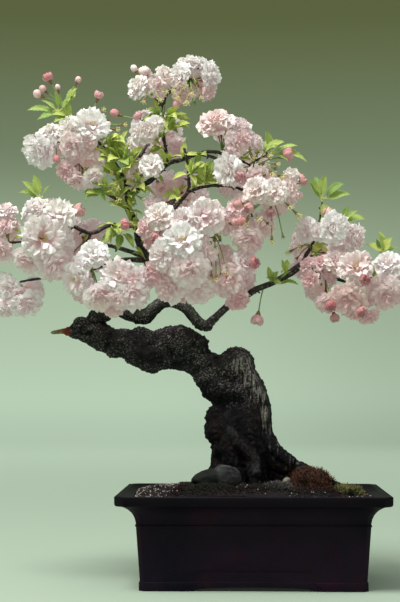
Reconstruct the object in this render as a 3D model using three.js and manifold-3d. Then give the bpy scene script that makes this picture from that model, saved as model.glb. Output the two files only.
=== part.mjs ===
// A double-flowered cherry grown as a bonsai, with the clay pot that it stands in.
// Millimetres, +Z up, and the tree's front faces -Y. The pieces are laid out round the middle
// of the pot's base, and at the end the whole group moves so that the origin is the bottom
// centre of its bounding box.
import * as THREE from "three";
import { mergeVertices } from "three/addons/utils/BufferGeometryUtils.js";
import Module from "manifold-3d";

const wasm = await Module();
wasm.setup();

// The pot: a moulded clay tub with cut corners.
const RIM_WIDTH = 350;
const RIM_DEPTH = 262;
const POT_HEIGHT = 120.5;
const RIM_BAND = 12.5; // height of the upright band at the rim
const BAND_CHAMFER = 1.5; // lower edge of that band
const OVERHANG = 26; // how far the rim stands out over the body, on every side
const FOOT_BAND = 10.5;
const FOOT_PROUD = 1.3;
const BODY_TAPER = 5; // how far the body draws in on every side from the cove to the foot
const RIM_CORNER = 12; // what the cut corners take off along each side
const BODY_CORNER = 5.5;
const RIM_LIP = 9; // flat top of the rim
const LIP_DROP = 8.5; // how far the inner wall slopes down from the lip before it turns upright
const WALL = 9;
const WALL_TOP_INSET = OVERHANG + 6; // the inner wall's inset from the rim, below the slope
const INNER_CORNER = 4;
const LIP_CORNER = 8;
const FLOOR_TOP = 20;
const UNDER_FLOOR = 8; // height of the recess under the pot
const FOOT_LENGTH = 69; // each corner foot, along the long side
const FOOT_RISE = 5; // height of the gentle arch between two feet
const SHORT_ARCH = 0.42; // span of the arch on a short side, beside that side's length
const APRON_WIDTH = 172;
const APRON_HEIGHT = 26;
const APRON_SUNK = 1.2; // how deep the panel between the feet is cut into the foot band
const DRAIN_RADIUS = 11;
const DRAIN_SPACING = 140;

// What fills the pot.
const SOIL_EDGE = 113.5; // level of the soil at the wall
const MOUND_TOP = 134;
const MOUND = { x: -8, z: 98, halfWidth: 175, halfDepth: 125 };
const SCREEN_SIZE = 34;
const SCREEN_THICKNESS = 1.2;
const SCREEN_HOLE = 5;

// Room kept between two pieces that touch.
const GAP = 0.3;

// The tree's front is composed for an eye two metres away at the height of the lower trunk.
const EYE = new THREE.Vector3(-11, -2000, 261);

const STALK_RADIUS = 0.9;
const HUB_RADIUS = 3.2; // the bud scales that a bunch of blossom grows out of
const SHOOT_RADIUS = 1.8; // the knot that a spray of leaves grows out of
const BLOSSOM_DEPTH = 0.72; // thickness of a blossom beside its width
const BUD_LENGTH = 1.35; // length of a bud beside its width
const HEAD_SIDES = 5; // facets round a blossom or a bud
const LEAF_WIDTH = 0.42; // width of a leaf beside its length
const LEAF_THICKNESS = 1;

const MATERIALS = {
  clay: new THREE.MeshStandardMaterial({ color: 0x2a2024, roughness: 0.55 }),
  plastic: new THREE.MeshStandardMaterial({ color: 0x1d1f1d, roughness: 0.6 }),
  soil: new THREE.MeshStandardMaterial({ color: 0x54463a, roughness: 0.95 }),
  bark: new THREE.MeshStandardMaterial({ color: 0x2c221e, roughness: 0.85 }),
  darkStone: new THREE.MeshStandardMaterial({ color: 0x23282a, roughness: 0.8 }),
  greyStone: new THREE.MeshStandardMaterial({ color: 0x5d5d5a, roughness: 0.85 }),
  rustMoss: new THREE.MeshStandardMaterial({ color: 0x7a4426, roughness: 1 }),
  greenMoss: new THREE.MeshStandardMaterial({ color: 0x8b8a3c, roughness: 1 }),
  petal: new THREE.MeshStandardMaterial({ color: 0xf4dcdc, roughness: 0.7 }),
  leaf: new THREE.MeshStandardMaterial({ color: 0x8db34a, roughness: 0.6 }),
};

const bonsai = new THREE.Group();

// A closed solid from a three.js geometry.
function solidOf(geometry) {
  const bare = new THREE.BufferGeometry();
  bare.setAttribute("position", geometry.getAttribute("position"));
  bare.setIndex(geometry.getIndex());
  const merged = mergeVertices(bare, 1e-4);
  const mesh = new wasm.Mesh({
    numProp: 3,
    vertProperties: new Float32Array(merged.attributes.position.array),
    triVerts: new Uint32Array(merged.index.array),
  });
  return new wasm.Manifold(mesh);
}

function joined(solids) {
  return solids.reduce((sum, solid) => sum.add(solid));
}

// The largest body of a solid. Trimming one piece back from another can leave crumbs.
function mainBody(solid) {
  const bodies = solid.decompose();
  return bodies.reduce((best, body) => (body.volume() > best.volume() ? body : best));
}

function addPiece(name, solid, material) {
  const { numProp, vertProperties, triVerts } = mainBody(solid).getMesh();
  const geometry = new THREE.BufferGeometry();
  geometry.setAttribute("position", new THREE.BufferAttribute(vertProperties, numProp));
  geometry.setIndex(new THREE.BufferAttribute(triVerts, 1));
  geometry.computeVertexNormals();
  const piece = new THREE.Mesh(geometry, material);
  piece.name = name;
  bonsai.add(piece);
}

// Joins rings of points, each turning anticlockwise about the way they follow one another,
// into a closed skin with a fan at either end.
function skin(rings, firstEnd, lastEnd) {
  const count = rings[0].length;
  const points = [...rings.flat(), firstEnd, lastEnd];
  const first = points.length - 2;
  const last = points.length - 1;
  const faces = [];
  for (let side = 0; side < count; side += 1) {
    const next = (side + 1) % count;
    for (let row = 0; row < rings.length - 1; row += 1) {
      const low = row * count;
      const high = low + count;
      faces.push(low + side, low + next, high + next);
      faces.push(low + side, high + next, high + side);
    }
    const top = (rings.length - 1) * count;
    faces.push(first, next, side);
    faces.push(last, top + side, top + next);
  }
  const geometry = new THREE.BufferGeometry().setFromPoints(points);
  geometry.setIndex(faces);
  return geometry;
}

// A tub shape: level sections, each a rectangle with cut corners, one above the other.
function tub(sections) {
  const rings = sections.map(({ z, width, depth, corner }) => {
    const x = width / 2;
    const y = depth / 2;
    const outline = [
      [x, corner - y],
      [x, y - corner],
      [x - corner, y],
      [corner - x, y],
      [-x, y - corner],
      [-x, corner - y],
      [corner - x, -y],
      [x - corner, -y],
    ];
    return outline.map(([px, py]) => new THREE.Vector3(px, py, z));
  });
  const bottom = new THREE.Vector3(0, 0, sections[0].z);
  const top = new THREE.Vector3(0, 0, sections[sections.length - 1].z);
  return solidOf(skin(rings, bottom, top));
}

// A section of the pot drawn in by inset from the rim on every side.
function section(z, inset, corner) {
  return { z, width: RIM_WIDTH - 2 * inset, depth: RIM_DEPTH - 2 * inset, corner };
}

function box(x, y, z, width, depth, height) {
  const geometry = new THREE.BoxGeometry(width, depth, height);
  geometry.translate(x, y, z + height / 2);
  return solidOf(geometry);
}

// Pot

// A low arch that runs through the foot band between two feet.
function footArch(span, rise, length) {
  const arch = new THREE.Shape();
  arch.moveTo(-span / 2, -1);
  arch.lineTo(span / 2, -1);
  arch.lineTo(span / 2, 0);
  arch.quadraticCurveTo(span / 2 - rise, rise, 0, rise);
  arch.quadraticCurveTo(rise - span / 2, rise, -span / 2, 0);
  const geometry = new THREE.ExtrudeGeometry(arch, {
    depth: length,
    curveSegments: 5,
    bevelEnabled: false,
  });
  geometry.rotateX(Math.PI / 2);
  geometry.translate(0, length / 2, 0);
  return geometry;
}

// The shallow sunk panel low on a long side, between the two feet.
function apron(width, height, cut) {
  const round = height * 0.7;
  const panel = new THREE.Shape();
  panel.moveTo(-width / 2, -1);
  panel.lineTo(width / 2, -1);
  panel.quadraticCurveTo(width / 2, height - round, width / 2 - round / 2, height - round / 2);
  panel.quadraticCurveTo(width / 2 - round, height, width / 2 - 2 * round, height);
  panel.lineTo(2 * round - width / 2, height);
  panel.quadraticCurveTo(round - width / 2, height, round / 2 - width / 2, height - round / 2);
  panel.quadraticCurveTo(-width / 2, height - round, -width / 2, -1);
  const geometry = new THREE.ExtrudeGeometry(panel, {
    depth: cut,
    curveSegments: 4,
    bevelEnabled: false,
  });
  geometry.rotateX(Math.PI / 2);
  return geometry;
}

const BODY_TOP = POT_HEIGHT - RIM_BAND - OVERHANG;
const FOOT_INSET = OVERHANG + BODY_TAPER - FOOT_PROUD;
const BASE_WIDTH = RIM_WIDTH - 2 * FOOT_INSET;
const BASE_DEPTH = RIM_DEPTH - 2 * FOOT_INSET;

// The cove under the rim is a quarter round, upright at the body and level under the band.
function coveSections(steps) {
  const sections = [];
  for (let step = 0; step <= steps; step += 1) {
    const angle = (Math.PI / 2) * (step / steps);
    const inset = OVERHANG * Math.cos(angle);
    const z = BODY_TOP + OVERHANG * Math.sin(angle);
    const corner = THREE.MathUtils.lerp(BODY_CORNER, RIM_CORNER, step / steps);
    sections.push(section(z, Math.max(inset, BAND_CHAMFER), corner));
  }
  return sections;
}

function makePot() {
  const outside = tub([
    section(0, FOOT_INSET, BODY_CORNER + 1),
    section(FOOT_BAND, FOOT_INSET, BODY_CORNER + 1),
    section(FOOT_BAND + 0.1, FOOT_INSET + FOOT_PROUD, BODY_CORNER),
    ...coveSections(5),
    section(POT_HEIGHT - RIM_BAND + BAND_CHAMFER, 0, RIM_CORNER),
    section(POT_HEIGHT, 0, RIM_CORNER),
  ]);
  const inside = tub([
    section(FLOOR_TOP, OVERHANG + BODY_TAPER + WALL, INNER_CORNER),
    section(POT_HEIGHT - LIP_DROP, WALL_TOP_INSET, INNER_CORNER),
    section(POT_HEIGHT, RIM_LIP, LIP_CORNER),
    section(POT_HEIGHT + 1, RIM_LIP, LIP_CORNER),
  ]);
  const recess = tub([
    section(-1, FOOT_INSET + WALL, INNER_CORNER),
    section(UNDER_FLOOR, FOOT_INSET + WALL, INNER_CORNER),
  ]);
  const longArch = footArch(BASE_WIDTH - 2 * FOOT_LENGTH, FOOT_RISE, RIM_DEPTH);
  const shortArch = footArch(BASE_DEPTH * SHORT_ARCH, FOOT_RISE - 1, RIM_WIDTH);
  shortArch.rotateZ(Math.PI / 2);
  const cutters = [inside, recess, solidOf(longArch), solidOf(shortArch)];
  for (const facing of [0, Math.PI]) {
    const panel = apron(APRON_WIDTH, APRON_HEIGHT, OVERHANG);
    panel.translate(0, APRON_SUNK - BASE_DEPTH / 2, 0);
    panel.rotateZ(facing);
    cutters.push(solidOf(panel));
  }
  for (const side of [-1, 1]) {
    const drain = new THREE.CylinderGeometry(DRAIN_RADIUS, DRAIN_RADIUS, 2 * FLOOR_TOP, 16);
    drain.rotateX(Math.PI / 2);
    drain.translate((side * DRAIN_SPACING) / 2, 0, FLOOR_TOP);
    cutters.push(solidOf(drain));
  }
  return outside.subtract(joined(cutters));
}

// A square of plastic mesh that lies over a drainage hole inside the pot.
function makeScreen(x) {
  const z = FLOOR_TOP + GAP;
  const pitch = SCREEN_HOLE * 1.4;
  const holes = [];
  for (const column of [-0.5, 0.5]) {
    for (const row of [-0.5, 0.5]) {
      const hole = [x + column * pitch, row * pitch, z - 1];
      holes.push(box(...hole, SCREEN_HOLE, SCREEN_HOLE, SCREEN_THICKNESS + 2));
    }
  }
  const sheet = box(x, 0, z, SCREEN_SIZE, SCREEN_SIZE, SCREEN_THICKNESS);
  return sheet.subtract(joined(holes));
}

// Tree

// A point of the crown is given as it stands in the front view, x across and z up in the plane
// of the pot's middle, with its depth y. It lies on the line of sight through that point.
function place([x, y, z]) {
  const reach = (y - EYE.y) / -EYE.y;
  const point = new THREE.Vector3(x, 0, z);
  return EYE.clone().lerp(point, reach);
}

// A tapering limb through points [x, y, z, radius].
function limb(points, sides, grow) {
  const curve = new THREE.CatmullRomCurve3(points.map(place), false, "centripetal");
  const steps = points.length - 1;
  const frames = curve.computeFrenetFrames(steps, false);
  const rings = [];
  for (let step = 0; step <= steps; step += 1) {
    const middle = curve.getPointAt(step / steps);
    const along = curve.getUtoTmapping(step / steps) * steps;
    const before = Math.min(Math.floor(along), points.length - 2);
    const from = points[before][3];
    const to = points[before + 1][3];
    const radius = THREE.MathUtils.lerp(from, to, along - before) + grow;
    const ring = [];
    for (let side = 0; side < sides; side += 1) {
      const angle = (2 * Math.PI * side) / sides;
      const point = middle.clone();
      point.addScaledVector(frames.normals[step], radius * Math.cos(angle));
      point.addScaledVector(frames.binormals[step], radius * Math.sin(angle));
      ring.push(point);
    }
    rings.push(ring);
  }
  const firstEnd = curve.getPointAt(0);
  firstEnd.addScaledVector(frames.tangents[0], -points[0][3] / 2 - grow);
  const lastEnd = curve.getPointAt(1);
  const lastRadius = points[points.length - 1][3];
  lastEnd.addScaledVector(frames.tangents[steps], lastRadius / 2 + grow);
  return solidOf(skin(rings, firstEnd, lastEnd));
}

// A round lump, stretched by [across, deep, high] and turned so that its height points along axis.
function lump(centre, [across, deep, high], axis, detail = 0) {
  const geometry = new THREE.IcosahedronGeometry(1, detail);
  geometry.scale(across, deep, high);
  const turn = new THREE.Quaternion();
  turn.setFromUnitVectors(new THREE.Vector3(0, 0, 1), axis.clone().normalize());
  geometry.applyQuaternion(turn);
  geometry.translate(centre.x, centre.y, centre.z);
  return solidOf(geometry);
}

const UP = new THREE.Vector3(0, 0, 1);

// The trunk rises to the left out of the pot, necks in, and runs out level to a dead tip.
const TRUNK = [
  [
    [-12, 4, 92, 50],
    [-12, 2, 130, 46],
    [-13, 0, 155, 42],
    [-15, -4, 182, 40],
    [-18, -5, 208, 42],
    [-17, 0, 234, 40],
    [-26, 4, 258, 39],
    [-43, 2, 276, 35],
    [-60, -2, 286, 26],
  ],
  [
    [-58, -2, 283, 26],
    [-74, 0, 292, 22],
    [-86, 4, 305, 29],
    [-102, 6, 311, 30],
    [-118, 4, 308, 28],
    [-134, -2, 304, 28],
    [-152, -6, 309, 26],
    [-168, -4, 314, 20],
    [-182, 0, 317, 18],
    [-198, 4, 323, 20],
    [-217, 2, 331, 21],
    [-233, 0, 333, 16],
    [-246, -1, 332, 9],
    [-260, -2, 333, 5],
    [-274, -3, 330, 2.5],
  ],
];

// Lumps of callus on the trunk: [x, y, z, radius].
const CALLUS = [
  [-22, 2, 280, 27],
  [-38, -8, 206, 28],
  [-38, -6, 182, 24],
  [-6, -14, 214, 28],
];

// Surface roots, each diving into the soil at its end.
const ROOTS = {
  right: [
    [4, -4, 202, 22], [16, -8, 180, 21], [33, -12, 159, 17], [52, -18, 149, 14],
    [68, -22, 143, 12], [84, -26, 131, 9], [98, -30, 116, 6],
  ],
  leftFront: [[-30, -15, 166, 22], [-50, -32, 140, 15], [-70, -50, 124, 10], [-92, -64, 110, 6]],
  front: [[-10, -28, 190, 16], [2, -44, 165, 14], [12, -60, 140, 12], [18, -78, 116, 7]],
  leftBack: [[-30, 25, 152, 20], [-54, 48, 130, 12], [-76, 70, 110, 7]],
  rightBack: [[10, 25, 152, 18], [36, 50, 130, 12], [58, 72, 110, 7]],
};

// Branches as thick as a pencil or more.
const BRANCHES = {
  bend: [
    [-214, 6, 336, 14], [-211, 10, 352, 11], [-200, 18, 362, 9], [-184, 20, 361, 7],
    [-165, 14, 355, 6.5], [-144, 6, 351, 6.5], [-134, 2, 363, 6.2], [-121, 0, 373, 6.2],
    [-107, -2, 375, 6.5], [-93, -2, 382, 5.5],
  ],
  stub: [[-216, 2, 338, 11], [-206, -2, 350, 8], [-190, -4, 351, 5]],
  leader: [
    [-108, -2, 375, 6.5], [-118, 2, 391, 6.8], [-134, 6, 405, 7.2], [-140, 8, 427, 7],
    [-151, 5, 450, 6.4], [-157, 0, 477, 6], [-166, -5, 495, 5.4], [-168, -6, 515, 4.8],
    [-173, -3, 535, 4.3], [-187, 0, 561, 3.5], [-204, 2, 585, 2.8], [-222, 4, 600, 2],
  ],
  lowRightFork: [
    [-107, -2, 374, 6.5], [-90, -8, 365, 6.2], [-78, -12, 350, 6.2], [-66, -15, 340, 6.5],
    [-53, -15, 339, 5],
  ],
};

// Thinner branches and twigs.
const TWIGS = {
  left: [
    [-156, 0, 476, 3.8], [-177, -8, 474, 3.3], [-191, -16, 476, 3], [-217, -26, 465, 2.8],
    [-231, -32, 469, 2.6], [-245, -36, 475, 2.3], [-268, -38, 468, 2], [-298, -34, 456, 1.6],
    [-326, -26, 452, 1.3],
  ],
  leftUp: [[-270, -38, 467, 1.6], [-282, -34, 490, 1.3], [-286, -31, 507, 1.1]],
  leftStub: [[-217, -26, 465, 2], [-224, -28, 452, 1.6], [-227, -30, 446, 1.4]],
  leftLow: [
    [-141, 8, 428, 4], [-178, 22, 428, 3.2], [-218, 12, 416, 2.8], [-260, -4, 407, 2.3],
    [-298, -10, 402, 1.8], [-314, -12, 399, 1.4],
  ],
  leftArc: [
    [-168, -4, 497, 3], [-180, -8, 508, 2.3], [-200, -12, 520, 2], [-218, -10, 527, 1.7],
    [-228, -4, 540, 1.4], [-230, 0, 556, 1.3],
  ],
  lowerLeft: [[-206, 14, 420, 2.6], [-213, -8, 419, 2], [-215, -32, 416, 1.5]],
  lowerMiddle: [[-178, 22, 428, 2.6], [-176, -6, 414, 2], [-174, -34, 400, 1.5]],
  upperLeftTip: [[-216, 4, 596, 2], [-238, 4, 596, 1.6], [-262, 4, 588, 1.3]],
  upperLeftBuds: [[-220, 4, 599, 1.8], [-240, 4, 618, 1.4], [-254, 4, 634, 1.2]],
  upperLeftBack: [[-188, 0, 563, 2.8], [-202, 22, 578, 2], [-212, 42, 588, 1.4]],
  upperRight: [
    [-168, -6, 512, 4.4], [-150, -10, 527, 3.8], [-131, -13, 541, 3.4], [-113, -16, 559, 3.2],
    [-96, -19, 564, 3], [-70, -23, 573, 2.8], [-54, -26, 575, 2.5], [-40, -28, 572, 2.2],
    [-17, -30, 563, 1.8], [-2, -30, 556, 1.4],
  ],
  top: [
    [-114, -16, 558, 2.8], [-117, -12, 579, 2.4], [-120, -6, 597, 2.2], [-121, -2, 622, 1.9],
    [-117, 0, 649, 1.7], [-112, 2, 660, 1.5],
  ],
  topLeft: [[-119, 0, 634, 1.6], [-128, 2, 645, 1.3], [-136, 3, 652, 1.2]],
  topRight: [[-115, 1, 654, 1.5], [-100, 2, 664, 1.3], [-88, 3, 668, 1.2]],
  middle: [
    [-156, 0, 478, 3.6], [-135, -10, 486, 3.2], [-113, -16, 493, 3], [-95, -20, 510, 2.8],
    [-86, -22, 523, 2.6], [-86, -26, 540, 2.3], [-88, -30, 561, 2], [-92, -34, 580, 1.6],
  ],
  shelf: [
    [-88, -21, 520, 2.4], [-66, -32, 527, 2.2], [-30, -44, 528, 2], [0, -54, 518, 1.8],
    [22, -58, 512, 1.5],
  ],
  shelfDown: [[-6, -52, 519, 1.9], [-4, -50, 500, 1.4], [0, -47, 486, 1.2]],
  centre: [
    [-95, -2, 381, 4.5], [-80, 0, 405, 3.8], [-72, -10, 438, 3], [-68, -32, 460, 2.4],
    [-68, -51, 472, 1.8],
  ],
  centreLeft: [[-134, -10, 486, 2.6], [-128, -18, 478, 2], [-121, -24, 472, 1.5]],
  centreFront: [[-77, -2, 414, 3], [-84, -32, 424, 2.4], [-92, -61, 435, 1.8]],
  centreRight: [[-79, -1, 407, 3], [-58, -22, 407, 2.2], [-38, -37, 408, 1.6]],
  centreLow: [[-92, -2, 386, 3], [-90, -24, 396, 2], [-89, -41, 399, 1.6]],
  lowRight: [
    [-62, -15, 342, 4.5], [-46, -19, 356, 3.5], [-34, -24, 366, 3.2], [-8, -30, 380, 3],
    [4, -32, 388, 2.9], [22, -34, 395, 2.8], [48, -35, 407, 2.7], [66, -32, 419, 2.5],
  ],
  rightRise: [
    [65, -32, 418, 2.4], [72, -30, 434, 2.1], [79, -26, 446, 1.9], [87, -22, 466, 1.7],
    [90, -20, 480, 1.5], [94, -18, 506, 1.2],
  ],
  rightEnd: [
    [64, -32, 418, 2.4], [82, -32, 411, 2.1], [95, -32, 406, 2], [112, -37, 402, 1.9],
    [132, -41, 398, 1.8], [158, -32, 400, 1.6], [174, -24, 402, 1.3],
  ],
  rightSide: [[88, -22, 469, 1.6], [104, -22, 477, 1.3], [116, -24, 478, 1.1]],
  rightEndUp: [[158, -32, 400, 1.6], [166, -29, 420, 1.3], [171, -25, 434, 1.1]],
  crownRightTip: [[-4, -30, 557, 1.6], [11, -28, 566, 1.3], [23, -26, 572, 1.1]],
  centreSide: [[-68, -34, 461, 1.8], [-61, -40, 463, 1.4], [-56, -43, 463, 1.1]],
  backLeft: [[-141, 10, 430, 4], [-165, 36, 440, 3.2], [-195, 62, 448, 2.6], [-222, 82, 452, 1.8]],
  backCentre: [[-150, 8, 450, 4.6], [-134, 38, 470, 3.8], [-116, 72, 495, 3], [-102, 104, 512, 2]],
  backLow: [[-117, 70, 492, 3], [-97, 84, 466, 2.3], [-83, 94, 447, 1.6]],
  backUpper: [[-173, 0, 532, 3.6], [-158, 30, 560, 2.9], [-142, 58, 584, 2.2], [-132, 76, 596, 1.5]],
  backShelf: [[-72, -20, 573, 2.4], [-50, 14, 566, 2.1], [-28, 42, 556, 1.8], [-14, 60, 549, 1.4]],
  backRight: [[20, -32, 394, 2.6], [42, -4, 408, 2.3], [62, 26, 422, 1.9], [80, 48, 434, 1.4]],
};

// The tree's wood, which grew as one piece. Grown by the gap, it cuts its neighbours clear.
function makeWood(grow) {
  const solids = [];
  for (const points of TRUNK) {
    solids.push(limb(points, 12, grow));
  }
  for (const [x, y, z, radius] of CALLUS) {
    const size = radius + grow;
    solids.push(lump(place([x, y, z]), [size, size, size], UP, 1));
  }
  for (const points of Object.values(ROOTS)) {
    solids.push(limb(points, 6, grow));
  }
  for (const points of Object.values(BRANCHES)) {
    solids.push(limb(points, 6, grow));
  }
  for (const points of Object.values(TWIGS)) {
    solids.push(limb(points, 4, grow));
  }
  return joined(solids);
}

// Soil, stones and moss

// The soil fills the pot up to the wall's slope and swells in a low mound towards the trunk.
function makeSoil(grow) {
  const room = GAP - grow;
  const fill = (top) =>
    tub([
      section(FLOOR_TOP + room, OVERHANG + BODY_TAPER + WALL + room, INNER_CORNER),
      section(POT_HEIGHT - LIP_DROP, WALL_TOP_INSET + room, INNER_CORNER),
      section(top + grow, WALL_TOP_INSET + room, INNER_CORNER),
    ]);
  const { x, z, halfWidth, halfDepth } = MOUND;
  const dome = new THREE.SphereGeometry(1, 14, 8);
  dome.rotateX(Math.PI / 2);
  dome.scale(halfWidth + grow, halfDepth + grow, MOUND_TOP - z + grow);
  dome.translate(x, 0, z);
  return fill(SOIL_EDGE).add(solidOf(dome).intersect(fill(MOUND_TOP)));
}

// Stones and moss cushions: centre, half sizes, lean of the top, and finish.
const STONES = {
  dark_wedge_stone: [[-62, -72, 139], [23, 17, 14], [0.5, -0.1, 1], "darkStone"],
  round_grey_stone: [[-33, -74, 140], [18, 15, 15], [-0.2, -0.1, 1], "greyStone"],
};
const MOSS = {
  rust_moss_mound: [[76, -34, 130], [36, 26, 22], [0.1, 0, 1], "rustMoss"],
  green_moss_tuft: [[122, -30, 118], [22, 24, 11], [0, 0, 1], "greenMoss"],
  grey_lichen_moss: [[32, -72, 126], [20, 14, 8], [0, 0, 1], "greenMoss"],
  olive_moss_patch: [[-66, -24, 127], [24, 22, 7], [0, 0, 1], "greenMoss"],
};

function cushion([[x, y, z], halves, lean], grow) {
  const size = halves.map((half) => half + grow);
  return lump(new THREE.Vector3(x, y, z), size, new THREE.Vector3(...lean), 1);
}

// Blossom

// The small knot of bud scales where stalks or leaves come out of the wood.
function knot(centre, radius) {
  const geometry = new THREE.OctahedronGeometry(radius);
  geometry.translate(centre.x, centre.y, centre.z);
  return solidOf(geometry);
}

// A flower on its stalk, turned about the stalk from the point where it grows: a thin neck, then
// a head that is widest at the given middle.
function stalked(from, middle, width, thickness, grow) {
  const way = middle.clone().sub(from);
  const length = way.length();
  const neck = STALK_RADIUS + grow;
  const below = Math.max(length - thickness / 2 - grow, length * 0.2);
  const profile = [
    new THREE.Vector2(0, HUB_RADIUS / 2),
    new THREE.Vector2(neck, HUB_RADIUS / 2),
    new THREE.Vector2(neck, below),
    new THREE.Vector2(width / 2 + grow, length),
    new THREE.Vector2(0, length + thickness / 2 + grow),
  ];
  const geometry = new THREE.LatheGeometry(profile, HEAD_SIDES);
  const turn = new THREE.Quaternion();
  turn.setFromUnitVectors(new THREE.Vector3(0, 1, 0), way.normalize());
  geometry.applyQuaternion(turn);
  geometry.translate(from.x, from.y, from.z);
  return solidOf(geometry);
}

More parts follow.
